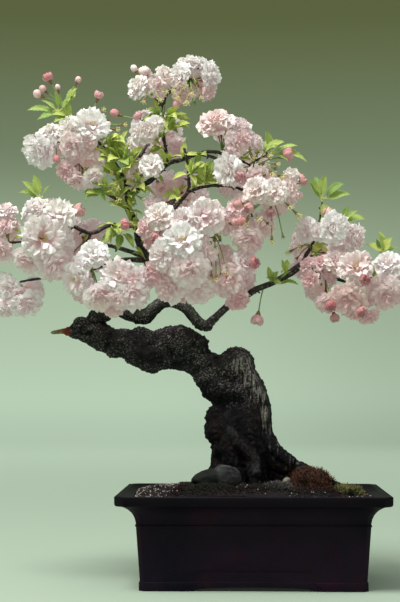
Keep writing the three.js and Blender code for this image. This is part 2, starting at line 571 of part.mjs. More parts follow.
// Each bunch grows out of one tuft of bud scales on a twig: its hub, then its open blossoms and
// its buds as [x, y, z, width].
const BUNCHES = {
  upper_left_front: {
    hub: [-225, 0, 599],
    blossoms: [[-218, -26, 611, 45], [-247, -16, 606, 36], [-242, -28, 584, 36], [-222, -22, 564, 24]],
    buds: [[-208, -8, 653, 13]],
  },
  upper_left_tip: {
    hub: [-266, 2, 588],
    blossoms: [[-275, -8, 600, 30], [-287, -14, 578, 48], [-268, 26, 584, 38]],
    buds: [[-265, -26, 566, 11]],
  },
  upper_left_low: {
    hub: [-232, -2, 560],
    blossoms: [[-250, -16, 549, 30], [-215, -18, 541, 32], [-236, 22, 550, 36]],
    buds: [[-199, -14, 524, 10]],
  },
  upper_left_buds: {
    hub: [-257, 3, 637],
    blossoms: [],
    buds: [[-277, 0, 678, 15], [-236, 5, 674, 8], [-264, 3, 664, 8], [-291, 2, 655, 11]],
  },
  upper_left_back: {
    hub: [-214, 46, 590],
    blossoms: [[-222, 52, 608, 42], [-250, 54, 590, 40], [-206, 66, 574, 40], [-234, 76, 562, 38]],
    buds: [[-196, 62, 612, 12]],
  },
  top_left: {
    hub: [-139, 3, 655],
    blossoms: [
      [-153, -7, 663, 33], [-127, -14, 661, 26], [-118, -6, 681, 26], [-142, 24, 668, 32],
    ],
    buds: [[-160, 0, 689, 10], [-146, 6, 684, 17]],
  },
  top_right: {
    hub: [-84, 3, 671],
    blossoms: [
      [-98, -12, 678, 34], [-84, 4, 691, 36], [-58, -6, 680, 36], [-60, 0, 658, 27],
      [-78, 28, 670, 38], [-94, -14, 653, 28],
    ],
    buds: [[-102, -12, 640, 12]],
  },
  upper_middle: {
    hub: [-123, -9.5, 603],
    blossoms: [[-152, -30, 601, 28], [-132, -32, 612, 24], [-147, 6, 610, 34]],
    buds: [[-186, -10, 628, 12], [-155, -16, 624, 13]],
  },
  inner_upper: {
    hub: [-134, -16, 544],
    blossoms: [[-136, -36, 556, 31]],
    buds: [[-124, -28, 528, 15]],
  },
  crown_right_top: {
    hub: [-41, -30, 577],
    blossoms: [
      [-49, -54, 611, 50], [-15, -46, 606, 30], [-22, -62, 584, 32], [3, -38, 584, 30],
      [-30, 0, 598, 38],
    ],
    buds: [],
  },
  crown_right_middle: {
    hub: [2, -31, 553],
    blossoms: [[-31, -64, 550, 42], [8, -60, 540, 30], [4, -6, 546, 36]],
    buds: [[48, -26, 571, 18], [-17, -60, 528, 18]],
  },
  crown_right_shelf: {
    hub: [26, -59.5, 512],
    blossoms: [
      [6, -84, 521, 36], [28, -80, 520, 36], [47, -64, 516, 34], [54, -48, 538, 28],
      [32, -34, 506, 36],
    ],
    buds: [[68, -54, 536, 14], [-4, -88, 495, 18], [24, -78, 490, 14]],
  },
  crown_right_low: {
    hub: [1, -46, 482],
    blossoms: [[14, -68, 475, 34], [-6, -72, 457, 38], [-16, -64, 497, 38], [-10, -22, 466, 36]],
    buds: [],
  },
  centre_top: {
    hub: [-68, -54, 475],
    blossoms: [[-62, -88, 487, 46], [-92, -78, 480, 36], [-42, -66, 480, 36], [-66, -28, 494, 36]],
    buds: [[-22, -76, 478, 13]],
  },
  centre_left: {
    hub: [-118, -27, 470],
    blossoms: [[-124, -54, 487, 38], [-143, -46, 472, 28], [-128, -12, 452, 36]],
    buds: [[-125, -58, 456, 16], [-172, -40, 476, 15]],
  },
  centre_front: {
    hub: [-93, -64, 437],
    blossoms: [
      [-94, -106, 454, 46], [-116, -94, 436, 44], [-84, -102, 414, 46], [-124, -72, 410, 42],
      [-66, -84, 438, 42],
    ],
    buds: [],
  },
  centre_low: {
    hub: [-89, -46, 400],
    blossoms: [[-110, -72, 388, 42], [-72, -82, 386, 48], [-92, -50, 374, 36]],
    buds: [],
  },
  centre_right: {
    hub: [-35, -40, 409],
    blossoms: [
      [-33, -74, 401, 44], [-10, -62, 424, 36], [-20, -66, 375, 32], [-42, -54, 430, 40],
      [-14, -20, 402, 38],
    ],
    buds: [[5, -56, 446, 12]],
  },
  left_top: {
    hub: [-266, -41, 472],
    blossoms: [[-295, -54, 496, 36], [-262, -66, 489, 42], [-274, -18, 492, 38]],
    buds: [[-234, -42, 494, 18]],
  },
  left_front: {
    hub: [-290, -39, 456],
    blossoms: [
      [-282, -80, 458, 54], [-268, -68, 422, 42], [-300, -58, 430, 42], [-258, -52, 446, 40],
      [-288, -2, 442, 42],
    ],
    buds: [],
  },
  left_end: {
    hub: [-329, -27, 452],
    blossoms: [[-334, -34, 492, 32], [-338, -40, 442, 34], [-332, 0, 466, 38]],
    buds: [],
  },
  left_low: {
    hub: [-318, -13, 398],
    blossoms: [[-328, -26, 392, 36], [-305, -30, 371, 42], [-334, -4, 366, 34], [-300, 12, 386, 38]],
    buds: [],
  },
  lower_left: {
    hub: [-215, -36, 415],
    blossoms: [[-214, -66, 436, 38], [-236, -62, 404, 42], [-205, -72, 376, 44], [-226, -22, 386, 38]],
    buds: [],
  },
  lower_middle: {
    hub: [-174, -37, 398],
    blossoms: [
      [-180, -74, 407, 43], [-162, -76, 378, 44], [-188, -60, 357, 28], [-150, -56, 400, 34],
      [-168, -10, 384, 38],
    ],
    buds: [],
  },
  right_top: {
    hub: [90, -24, 466],
    blossoms: [[74, -40, 468, 33], [110, -54, 470, 40], [137, -40, 458, 34], [116, -2, 456, 38]],
    buds: [[104, -24, 490, 18]],
  },
  right_inner: {
    hub: [97, -36, 403],
    blossoms: [[112, -58, 424, 34], [74, -50, 421, 22], [102, -58, 372, 32], [88, -10, 390, 36]],
    buds: [[110, -52, 350, 13]],
  },
  right_front: {
    hub: [137, -44, 397],
    blossoms: [[138, -78, 417, 43], [130, -76, 376, 44], [155, -56, 353, 28], [144, -12, 394, 40]],
    buds: [[148, -74, 394, 13]],
  },
  right_end: {
    hub: [178, -24, 402],
    blossoms: [[182, -46, 420, 38], [178, -52, 384, 46], [200, -14, 406, 34], [168, 4, 386, 38]],
    buds: [],
  },
  hanging_bud: {
    hub: [14, -37, 388],
    blossoms: [],
    buds: [[6, -40, 347, 18]],
  },
  back_top: {
    hub: [-130, 79, 598],
    blossoms: [
      [-144, 92, 612, 42], [-112, 86, 606, 42], [-128, 108, 588, 42], [-152, 78, 580, 38],
      [-106, 66, 580, 36],
    ],
    buds: [],
  },
  back_crown: {
    hub: [-101, 107, 514],
    blossoms: [
      [-120, 118, 530, 44], [-84, 116, 528, 44], [-100, 134, 502, 46], [-128, 104, 498, 42],
      [-74, 96, 504, 42],
    ],
    buds: [],
  },
  back_low: {
    hub: [-81, 97, 444],
    blossoms: [
      [-98, 112, 452, 42], [-62, 100, 452, 42], [-84, 122, 428, 44], [-64, 82, 416, 40],
      [-108, 88, 420, 40],
    ],
    buds: [],
  },
  back_left: {
    hub: [-225, 84, 452],
    blossoms: [
      [-246, 84, 466, 42], [-212, 98, 466, 42], [-232, 108, 442, 44], [-252, 74, 432, 40],
      [-212, 80, 428, 38],
    ],
    buds: [],
  },
  back_right: {
    hub: [83, 51, 436],
    blossoms: [
      [70, 62, 450, 42], [104, 58, 448, 42], [90, 76, 426, 44], [114, 42, 424, 38],
      [70, 44, 416, 38],
    ],
    buds: [],
  },
  back_shelf: {
    hub: [-12, 63, 547],
    blossoms: [
      [-28, 76, 560, 42], [6, 68, 558, 42], [-10, 88, 538, 44], [16, 52, 530, 38],
      [-34, 60, 530, 38],
    ],
    buds: [],
  },
};

function makeBunch({ hub, blossoms, buds }, grow) {
  const heart = place(hub);
  const solids = [knot(heart, HUB_RADIUS + grow)];
  for (const [x, y, z, width] of blossoms) {
    solids.push(stalked(heart, place([x, y, z]), width, width * BLOSSOM_DEPTH, grow));
  }
  for (const [x, y, z, width] of buds) {
    solids.push(stalked(heart, place([x, y, z]), width, width * BUD_LENGTH, grow));
  }
  return joined(solids);
}

// Leaves

// Sprays of young leaves: where the shoot leaves its twig, then the tip of each leaf.
const SPRAYS = {
  leaves_upper_left: {
    shoot: [-262, 0, 630],
    tips: [[-292, -8, 619], [-306, 4, 632], [-286, -4, 646], [-268, -8, 658], [-242, -6, 652]],
  },
  leaves_upper_left_inner: {
    shoot: [-205, -3, 583],
    tips: [[-184, -18, 592], [-178, -14, 568], [-196, -26, 560]],
  },
  leaves_leader: {
    shoot: [-175.5, -5.5, 548],
    tips: [[-150, -30, 580], [-186, -24, 578], [-150, -26, 556], [-196, -16, 546]],
  },
  leaves_top_middle: {
    shoot: [-121.5, -6.5, 618],
    tips: [[-88, -20, 626], [-100, -16, 600], [-140, -22, 630], [-118, -30, 640], [-146, -10, 612]],
  },
  leaves_left_pair: {
    shoot: [-286, -30, 512],
    tips: [[-312, -38, 536], [-296, -34, 544], [-272, -40, 530], [-316, -30, 520]],
  },
  leaves_left_arc: {
    shoot: [-217, -13, 529],
    tips: [[-250, -22, 528], [-226, -26, 508], [-198, -24, 508]],
  },
  leaves_left_low: {
    shoot: [-176, -10, 468.5],
    tips: [[-206, -22, 446], [-182, -26, 440], [-154, -24, 464], [-160, -22, 444]],
  },
  leaves_middle: {
    shoot: [-83, -33, 546],
    tips: [[-58, -40, 540], [-60, -34, 524], [-76, -44, 528], [-108, -40, 536]],
  },
  leaves_crown_right: {
    shoot: [26, -26, 574],
    tips: [[18, -34, 602], [42, -30, 590], [62, -28, 582], [74, -26, 560], [48, -38, 562]],
  },
  leaves_right_top: {
    shoot: [94.5, -18.5, 510],
    tips: [[76, -26, 534], [98, -30, 542], [124, -26, 530], [132, -24, 516], [84, -8, 540]],
  },
  leaves_right_side: {
    shoot: [120, -24, 478],
    tips: [[130, -30, 500], [152, -30, 482], [142, -36, 494]],
  },
  leaves_right_end: {
    shoot: [172, -24, 438],
    tips: [[166, -34, 456], [188, -30, 458], [196, -22, 444], [160, -16, 446]],
  },
  leaves_low_branch: {
    shoot: [32, -36, 396],
    tips: [[18, -44, 404], [28, -48, 412], [52, -46, 412], [62, -40, 394]],
  },
  leaves_centre: {
    shoot: [-53, -45, 463],
    tips: [[-34, -62, 468], [-72, -66, 466], [-42, -66, 452]],
  },
};

// A thin leaf, widest before its middle, with its two faces slightly raised.
function leafSolid(from, tip, grow) {
  const way = tip.clone().sub(from);
  const length = way.length();
  const side = way.clone().cross(UP).normalize();
  const face = side.clone().cross(way).normalize();
  const at = (along, across, raised) =>
    from
      .clone()
      .addScaledVector(way, along)
      .addScaledVector(side, across)
      .addScaledVector(face, raised);
  const half = (length * LEAF_WIDTH) / 2 + grow;
  const thick = LEAF_THICKNESS / 2 + grow;
  const ends = grow / length;
  const rim = [at(-ends, 0, 0), at(0.5, half, 0), at(1 + ends, 0, 0), at(0.5, -half, 0)];
  return solidOf(skin([rim], at(0.5, 0, -thick), at(0.5, 0, thick)));
}

function makeSpray({ shoot, tips }, grow) {
  const base = place(shoot);
  const solids = [knot(base, SHOOT_RADIUS + grow)];
  for (const tip of tips) {
    solids.push(leafSolid(base, place(tip), grow));
  }
  return joined(solids);
}

// Assembly

const clearOfWood = makeWood(GAP);
const clearOfSoil = makeSoil(GAP);
const screens = { drain_screen_left: -DRAIN_SPACING / 2, drain_screen_right: DRAIN_SPACING / 2 };
const screenRoom = SCREEN_SIZE + 2 * GAP;
const roomForScreens = Object.values(screens).map((x) =>
  box(x, 0, FLOOR_TOP, screenRoom, screenRoom, SCREEN_THICKNESS + 2 * GAP),
);

addPiece("pot", makePot(), MATERIALS.clay);
for (const [name, x] of Object.entries(screens)) {
  addPiece(name, makeScreen(x), MATERIALS.plastic);
}
addPiece("trunk_and_branches", makeWood(0), MATERIALS.bark);
addPiece("soil", makeSoil(0).subtract(joined([clearOfWood, ...roomForScreens])), MATERIALS.soil);

let taken = clearOfWood.add(clearOfSoil);
for (const [name, spec] of Object.entries({ ...STONES, ...MOSS })) {
  addPiece(name, cushion(spec, 0).subtract(taken), MATERIALS[spec[3]]);
  taken = taken.add(cushion(spec, GAP));
}
for (const [name, bunch] of Object.entries(BUNCHES)) {
  addPiece(`blossom_${name}`, makeBunch(bunch, 0).subtract(taken), MATERIALS.petal);
  taken = taken.add(makeBunch(bunch, GAP));
}
for (const [name, spray] of Object.entries(SPRAYS)) {
  addPiece(name, makeSpray(spray, 0).subtract(taken), MATERIALS.leaf);
  taken = taken.add(makeSpray(spray, GAP));
}

const bounds = new THREE.Box3().setFromObject(bonsai);
const middle = bounds.getCenter(new THREE.Vector3());
bonsai.position.set(-middle.x, -middle.y, -bounds.min.z);

export default bonsai;
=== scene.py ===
"""A double-flowered cherry grown as a bonsai, with the clay pot that it stands in.

Pieces are shaped in millimetres round the middle of the pot's base and brought into the frame,
in metres, when they are finished.
"""
import math
import random

import bmesh
import bpy
from mathutils import Matrix, Vector, noise
from mathutils.geometry import interpolate_bezier


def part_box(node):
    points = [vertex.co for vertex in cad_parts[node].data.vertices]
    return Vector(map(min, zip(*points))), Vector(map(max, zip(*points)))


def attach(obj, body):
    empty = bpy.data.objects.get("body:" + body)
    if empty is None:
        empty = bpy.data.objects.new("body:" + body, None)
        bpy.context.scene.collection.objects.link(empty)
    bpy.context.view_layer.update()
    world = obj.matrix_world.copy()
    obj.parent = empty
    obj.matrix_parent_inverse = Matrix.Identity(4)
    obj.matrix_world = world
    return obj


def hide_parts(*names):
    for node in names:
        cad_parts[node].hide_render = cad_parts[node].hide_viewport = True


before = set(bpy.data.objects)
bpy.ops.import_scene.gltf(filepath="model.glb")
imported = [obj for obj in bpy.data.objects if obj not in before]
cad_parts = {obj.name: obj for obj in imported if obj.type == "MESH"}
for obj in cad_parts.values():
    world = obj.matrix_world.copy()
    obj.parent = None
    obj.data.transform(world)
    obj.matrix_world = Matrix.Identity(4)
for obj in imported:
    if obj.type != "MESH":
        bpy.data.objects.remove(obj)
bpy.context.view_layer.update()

# Studio ---------------------------------------------------------------------------------------
# A seamless sweep of painted board, pale at the foot and darker olive higher up: a round floor
# that curves up into a wall, far enough out for the tree to be seen from every side. A large soft
# lamp stands high at the left in front, with a weaker one at the right, under an even white sky.
# Lights round the foot of the wall wash the board: the floor faintly near the tree and more as it
# nears them, the wall more weakly higher up and at the far right. The board's glow stands for
# them: painted light.

pot_low, pot_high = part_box("pot")
POT_MIDDLE = Vector(((pot_low.x + pot_high.x) / 2, (pot_low.y + pot_high.y) / 2, 0))
EYE = Vector((-11.1, -2000, 261))  # millimetres from the middle of the pot's base
EYE_LENS = 89.2
EYE_RISE = math.radians(3.2)
EYE_TURN = math.radians(1.7)
FLOOR_RADIUS = 4.6
SWEEP_RADIUS = 1.6
SWEEP_STEPS = 16
WALL_TOP = 5.0


class Value:
    """An output of a shader node. Arithmetic on it adds Math nodes."""

    def __init__(self, finish, socket):
        self.finish = finish
        self.socket = socket

    def reckon(self, operation, *terms):
        """A Math node on the terms, or on this value alone where there are none."""
        return self.finish.node("Math", {"operation": operation}, dict(enumerate(terms or [self])))

    def __add__(self, other):
        return self.reckon("ADD", self, other)

    def __sub__(self, other):
        return self.reckon("SUBTRACT", self, other)

    def __rsub__(self, other):
        return self.reckon("SUBTRACT", other, self)

    def __mul__(self, other):
        return self.reckon("MULTIPLY", self, other)

    __radd__ = __add__
    __rmul__ = __mul__

    def band(self, low, high):
        """0 below low, 1 above high, and smooth between them."""
        ends = {"Value": self, "From Min": low, "From Max": high}
        return self.finish.node("MapRange", {"interpolation_type": "SMOOTHSTEP"}, ends)


def tone(red, green, blue):
    """A colour named by its screen values, 0 to 255, as the shaders take it."""
    shares = [value / 255 for value in (red, green, blue)]
    return tuple(s / 12.92 if s < 0.04045 else ((s + 0.055) / 1.055) ** 2.4 for s in shares)


class Finish:
    """A procedural material on one Principled shader."""

    def __init__(self, name):
        self.material = bpy.data.materials.new(name)
        self.material.use_nodes = True
        self.tree = self.material.node_tree
        self.tree.nodes.clear()
        self.shader = self.tree.nodes.new("ShaderNodeBsdfPrincipled")
        surface = self.tree.nodes.new("ShaderNodeOutputMaterial").inputs["Surface"]
        self.tree.links.new(self.shader.outputs["BSDF"], surface)

    def feed(self, socket, value):
        if isinstance(value, Value):
            self.tree.links.new(value.socket, socket)
        elif socket.type == "RGBA":
            socket.default_value = (*value[:3], 1)
        else:
            socket.default_value = value

    def node(self, kind, settings=None, values=None, output=0):
        """Adds a node, with its settings first and then the values or links of its sockets."""
        node = self.tree.nodes.new("ShaderNode" + kind)
        for name, setting in (settings or {}).items():
            setattr(node, name, setting)
        for name, value in (values or {}).items():
            self.feed(node.inputs[name], value)
        return Value(self, node.outputs[output])

    def surface(self, **values):
        """Feeds the shader: base_color stands for its Base Color, and so on."""
        for name, value in values.items():
            socket = name.replace("_", " ").title().replace("Ior", "IOR")
            self.feed(self.shader.inputs[socket], value)

    def position(self):
        return self.node("TexCoord", output="Object")

    def level(self, axis):
        """How far along one axis a point lies, in metres."""
        return self.node("SeparateXYZ", values={"Vector": self.position()}, output=axis)

    def attribute(self, name):
        return self.node("Attribute", {"attribute_name": name}, output="Fac")

    def grain(self, size, detail=3, stretch=None):
        """Noise from 0 to 1, with lumps about size metres across, drawn out where it is stretched."""
        spot = self.position()
        if stretch:
            spot = self.node("VectorMath", {"operation": "DIVIDE"}, {0: spot, 1: stretch})
        values = {"Vector": spot, "Scale": 0.5 / size, "Detail": detail, "Roughness": 0.55}
        return self.node("TexNoise", values=values)

    def mix(self, share, first, second):
        settings = {"data_type": "RGBA", "clamp_factor": True}
        return self.node("Mix", settings, {0: share, 6: first, 7: second}, output=2)

    def bump(self, height, depth):
        """Turns a height from 0 to 1 into relief that is depth metres deep."""
        return self.node("Bump", values={"Height": height, "Distance": depth, "Strength": 1.0})


def link(name, data):
    piece = bpy.data.objects.new(name, data)
    bpy.context.scene.collection.objects.link(piece)
    return piece


def mesh_from(bm, name):
    mesh = bpy.data.meshes.new(name)
    bm.to_mesh(mesh)
    bm.free()
    return mesh


def mesh_of(bm, name, material):
    """A smooth-shaded mesh object from a bmesh."""
    mesh = mesh_from(bm, name)
    mesh.shade_smooth()
    mesh.materials.append(material)
    return link(name, mesh)


def lathe(outline, steps):
    """Turns an outline, given as distances out and up, once round the upright axis."""
    bm = bmesh.new()
    verts = [bm.verts.new((out, 0, up)) for out, up in outline]
    edges = [bm.edges.new(pair) for pair in zip(verts, verts[1:])]
    bmesh.ops.spin(
        bm, geom=verts + edges, axis=(0, 0, 1), angle=math.tau, steps=steps, use_merge=True,
    )
    bmesh.ops.remove_doubles(bm, verts=bm.verts, dist=1e-5)
    return bm


board = Finish("studio_board")
slide = board.level("X")
rise = board.level("Z")
reach = board.node("VectorMath", {"operation": "LENGTH"}, {0: board.position()}, output="Value")
shaded = board.node("MapRange", values={"Value": rise, "From Min": 0.15, "From Max": 2.3})
paint = board.mix(shaded, tone(150, 167, 149), tone(90, 96, 61))
high = rise.band(0.8, 1.65)
far_right = slide.band(-0.5, 1.3) * reach.band(1.5, 5)
wall_light = 0.05 + 0.71 * reach.band(0.4, 4) + 0.16 * rise.band(0, 0.25)
wall_light = wall_light - 0.59 * high - 0.36 * far_right * (1 - high)
glow = board.mix(wall_light, (0, 0, 0), paint)
board.surface(base_color=paint, roughness=0.95, emission_color=glow, emission_strength=1)

outline = [(0, 0), (FLOOR_RADIUS, 0)]
for step in range(1, SWEEP_STEPS + 1):
    angle = math.pi / 2 * step / SWEEP_STEPS
    across = FLOOR_RADIUS + SWEEP_RADIUS * math.sin(angle)
    outline.append((across, SWEEP_RADIUS * (1 - math.cos(angle))))
outline.append((FLOOR_RADIUS + SWEEP_RADIUS, WALL_TOP))
sweep = mesh_of(lathe(outline, 96), "studio_sweep", board.material)


def lamp(name, place, aim, size, power, colour):
    light = bpy.data.lights.new(name, "AREA")
    light.shape = "DISK"
    light.size = size
    light.energy = power
    light.color = colour
    holder = link(name, light)
    holder.location = place
    holder.rotation_euler = (Vector(aim) - Vector(place)).to_track_quat("-Z", "Y").to_euler()
    holder.visible_camera = False


lamp("key_lamp", (-0.9, -1.1, 3.0), (0, 0, 0.4), 1.5, 128, (1.0, 0.985, 0.965))
lamp("fill_lamp", (2.2, -1.8, 1.3), (0, 0, 0.4), 1.8, 8, (0.97, 0.99, 1.0))

sky = bpy.data.worlds.new("studio_sky")
sky.use_nodes = True
sky.node_tree.nodes["Background"].inputs["Color"].default_value = (0.98, 1.0, 0.97, 1)
sky.node_tree.nodes["Background"].inputs["Strength"].default_value = 0.9
bpy.context.scene.world = sky
bpy.context.scene.view_settings.view_transform = "Standard"

camera = link("camera", bpy.data.cameras.new("camera"))
camera.data.lens = EYE_LENS
camera.data.clip_end = 40
camera.location = POT_MIDDLE + EYE / 1000
camera.rotation_euler = (math.pi / 2 + EYE_RISE, 0, EYE_TURN)
bpy.context.scene.camera = camera

# Pot ------------------------------------------------------------------------------------------
# A rectangular pot of dark unglazed clay, pressed in a mould and fired as one piece: a flat rim
# that overhangs a hollow cove, a thin raised line, walls that draw in to a foot band, and four
# corner feet with a shallow sunk apron between them. Two holes in the floor let water out.

RIM_WIDTH = 350
RIM_DEPTH = 262
POT_HEIGHT = 120.5
RIM_BAND = 12.5
OVERHANG = 26  # from the rim's edge in to the top of the body
COVE_STEPS = 9
FOOT_INSET = 29.7
BODY_FOOT_INSET = 31
FOOT_BAND = 10.5
LINE_HEIGHT = 86
WALL = 9
FLOOR_TOP = 20
UNDER_FLOOR = 8
DRAIN_RADIUS = 11
DRAIN_SPACING = 140
FOOT_LENGTH = 69
FOOT_RISE = 5
APRON_HALF = 86
APRON_SUNK = 1.2
APRON_HOLLOW = 7  # radius of the hollow at the foot of the apron's shoulder
APRON_LOBE = (11, 12)  # width and rise of the lobe above it
EDGE_WEAR = 0.9  # radius that the mould leaves on an edge
BELOW = -5  # how low a cutter starts, to be clear of the base
CUTTER_DEPTH = 12  # of the apron's, to be clear of the walls

TO_FRAME = Matrix.Translation(POT_MIDDLE) @ Matrix.Scale(0.001, 4)


def finish_piece(bm, name, material, slot, *nodes, crease=None):
    """Brings a bmesh from millimetres into the frame as a piece that rides with the root."""
    bmesh.ops.transform(bm, matrix=TO_FRAME, verts=bm.verts)
    piece = mesh_of(bm, name, material)
    if crease is not None:
        piece.data.set_sharp_from_angle(angle=math.radians(crease))
    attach(piece, "root")
    if nodes:
        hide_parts(*nodes)


def baked_bmesh(piece):
    """What a piece looks like with its modifiers, as a bmesh. The piece itself is removed."""
    depsgraph = bpy.context.evaluated_depsgraph_get()
    mesh = bpy.data.meshes.new_from_object(piece.evaluated_get(depsgraph))
    bm = bmesh.new()
    bm.from_mesh(mesh)
    bpy.data.objects.remove(piece)
    bpy.data.meshes.remove(mesh)
    return bm


def only(kind, items):
    """The vertices, edges or faces among the things that an operator made."""
    return [item for item in items if isinstance(item, kind)]


def draw_ring(verts, height, inset, corner):
    """Moves eight vertices to a level section with cut corners, drawn in from the rim's outline."""
    for vert in verts:
        x = RIM_WIDTH / 2 - inset
        y = RIM_DEPTH / 2 - inset
        if RIM_WIDTH / 2 - abs(vert.co.x) < RIM_DEPTH / 2 - abs(vert.co.y):
            y -= corner  # this vertex ends a short side
        else:
            x -= corner
        vert.co = (math.copysign(x, vert.co.x), math.copysign(y, vert.co.y), height)


cove = []
for step in range(1, COVE_STEPS):
    share = step / COVE_STEPS
    angle = math.pi / 2 * step / COVE_STEPS
    height = POT_HEIGHT - RIM_BAND - OVERHANG + OVERHANG * math.sin(angle)
    cove.append((height, OVERHANG * math.cos(angle) + 1.5 * share, 5.5 + 6 * share))

# Each section of the pot is its height, its inset from the rim's outline and its cut corner,
# from the ceiling of the recess underneath, out round the walls and down to the inner floor.
POT_SECTIONS = [
    (UNDER_FLOOR, FOOT_INSET + WALL, 4), (0, FOOT_INSET + WALL, 4), (0, FOOT_INSET, 6.5),
    (FOOT_BAND, FOOT_INSET, 6.5), (FOOT_BAND + 0.8, BODY_FOOT_INSET, 5.5),
    (LINE_HEIGHT - 5.2, OVERHANG + 0.2, 5.5), (LINE_HEIGHT - 4.6, OVERHANG - 0.9, 5.5),
    (LINE_HEIGHT - 3.0, OVERHANG - 0.9, 5.5), (LINE_HEIGHT - 2.4, OVERHANG + 0.1, 5.5), *cove,
    (POT_HEIGHT - RIM_BAND - 0.2, 3.0, 10), (POT_HEIGHT - RIM_BAND + 0.6, 1.2, 11.3),
    (POT_HEIGHT - RIM_BAND + 2.4, 0.2, 12), (POT_HEIGHT - 1, 0, 12), (POT_HEIGHT, 0.9, 11.6),
    (POT_HEIGHT, 8.2, 8.4), (POT_HEIGHT - 1.4, 9.6, 8), (POT_HEIGHT - 8.5, OVERHANG + 6, 4),
    (FLOOR_TOP, OVERHANG + 5 + WALL, 4),
]

# An eight-cornered ring is drawn out through the sections, and both its ends are filled.
bm = bmesh.new()
starts = [(x, y) for x in (RIM_WIDTH / 2, -RIM_WIDTH / 2) for y in (RIM_DEPTH / 2, -RIM_DEPTH / 2)]
corners = [(x - math.copysign(1, x), y, 0) for x, y in starts]
corners += [(x, y - math.copysign(1, y), 0) for x, y in starts]
corners.sort(key=lambda point: math.atan2(point[1], point[0]))
face = bm.faces.new([bm.verts.new(point) for point in corners])
draw_ring(face.verts, *POT_SECTIONS[0])
ring = face.edges[:]
for section in POT_SECTIONS[1:]:
    grown = bmesh.ops.extrude_edge_only(bm, edges=ring)["geom"]
    draw_ring(only(bmesh.types.BMVert, grown), *section)
    ring = only(bmesh.types.BMEdge, grown)
bmesh.ops.contextual_create(bm, geom=ring)
bmesh.ops.recalc_face_normals(bm, faces=bm.faces)
blank = mesh_of(bm, "pot_blank", board.material)


def bar(outline, near, far):
    """A solid bar from near to far in depth, with the outline of its end given in x and z."""
    bm = bmesh.new()
    face = bm.faces.new([bm.verts.new((x, near, z)) for x, z in outline])
    pushed = bmesh.ops.extrude_face_region(bm, geom=[face])["geom"]
    bmesh.ops.translate(bm, verts=only(bmesh.types.BMVert, pushed), vec=(0, far - near, 0))
    bmesh.ops.recalc_face_normals(bm, faces=bm.faces)
    return bm


def foot_arch(span, rise, length):
    """A long bar under the pot whose top is the gentle arch between two feet."""
    outline = [(-span / 2, BELOW), (span / 2, BELOW), (span / 2, 0)]
    for step in range(9):
        turn = math.pi * step / 8
        outline.append((math.cos(turn) * (span / 2 - 3), rise * (0.35 + 0.65 * math.sin(turn))))
    return bar([*outline, (-span / 2, 0)], -length / 2, length / 2)


# The sunk apron has a cloud-shaped shoulder at either end.
turns = [math.pi / 2 * step / 6 for step in range(7)]
lobe_width, lobe_rise = APRON_LOBE
shoulder = [
    (APRON_HALF - 1 - APRON_HOLLOW * math.sin(turn), 12.5 - APRON_HOLLOW * math.cos(turn))
    for turn in turns
]
shoulder += [
    (APRON_HALF - 9 - lobe_width * (1 - math.cos(turn)), 14 + lobe_rise * math.sin(turn))
    for turn in turns
]
apron = [(-APRON_HALF, BELOW), (APRON_HALF, BELOW), (APRON_HALF, 3), *shoulder]
apron += [(-x, z) for x, z in reversed(shoulder)] + [(-APRON_HALF, 3)]

base_width = RIM_WIDTH - 2 * FOOT_INSET
base_depth = RIM_DEPTH - 2 * FOOT_INSET
short_arch = foot_arch(base_depth * 0.42, FOOT_RISE - 1, RIM_WIDTH)
bmesh.ops.rotate(short_arch, verts=short_arch.verts, matrix=Matrix.Rotation(math.pi / 2, 3, "Z"))
shapes = [foot_arch(base_width - 2 * FOOT_LENGTH, FOOT_RISE, RIM_DEPTH), short_arch]
for side in (-1, 1):
    panel_face = side * (RIM_DEPTH / 2 - FOOT_INSET - APRON_SUNK)
    shapes.append(bar(apron, panel_face, panel_face + side * CUTTER_DEPTH))
for side in (-1, 1):
    drill = bmesh.new()
    at = Matrix.Translation((side * DRAIN_SPACING / 2, 0, FLOOR_TOP))
    size = {"radius1": DRAIN_RADIUS, "radius2": DRAIN_RADIUS, "depth": 60, "segments": 40}
    bmesh.ops.create_cone(drill, cap_ends=True, matrix=at, **size)
    shapes.append(drill)
cutters = [mesh_of(shape, "cutter", board.material) for shape in shapes]
for cutter in cutters:
    carve = blank.modifiers.new("carve", "BOOLEAN")
    carve.operation = "DIFFERENCE"
    carve.solver = "EXACT"
    carve.object = cutter
worn = blank.modifiers.new("worn", "BEVEL")
worn.width = EDGE_WEAR
worn.segments = 2
worn.limit_method = "ANGLE"
worn.angle_limit = math.radians(38)
worn.use_clamp_overlap = True
bm = baked_bmesh(blank)
for cutter in cutters:
    bpy.data.objects.remove(cutter)

clay = Finish("unglazed_clay")
height = clay.level("Z")
firing = clay.grain(0.05, detail=4)
speck = clay.grain(0.0016, detail=2)
pores = clay.grain(0.0005, detail=1)
flush = clay.grain(0.03, detail=3)
body = clay.mix(firing.band(0.35, 0.65), tone(17, 14, 25), tone(30, 20, 33))
body = clay.mix(flush.band(0.52, 0.7) * 0.7, body, tone(38, 17, 27))
body = clay.mix(speck.band(0.58, 0.75) * 0.3, body, tone(42, 34, 41))
painted_rim_shade = height.band(0.1, 0.112)  # painted shade: the rim band is darkened to tone down the lamp light that falls on it
body = clay.mix(painted_rim_shade * 0.75, body, tone(7, 6, 9))
clay.surface(
    base_color=body, roughness=0.42 + 0.14 * firing + 0.1 * speck, specular_ior_level=0.06,
    normal=clay.bump(0.5 * speck + 0.5 * pores, 0.00025),
)
finish_piece(bm, "pot_body", clay.material, "pot_clay", "pot", crease=35)

# Drain screens --------------------------------------------------------------------------------
# A square of dark plastic mesh lies over each drainage hole inside the pot and keeps the soil
# in. Each is cut from a moulded sheet, so its edge strands end in the open.

SCREEN_SIZE = 34
SCREEN_CELLS = 9
SCREEN_STRAND = 1.2

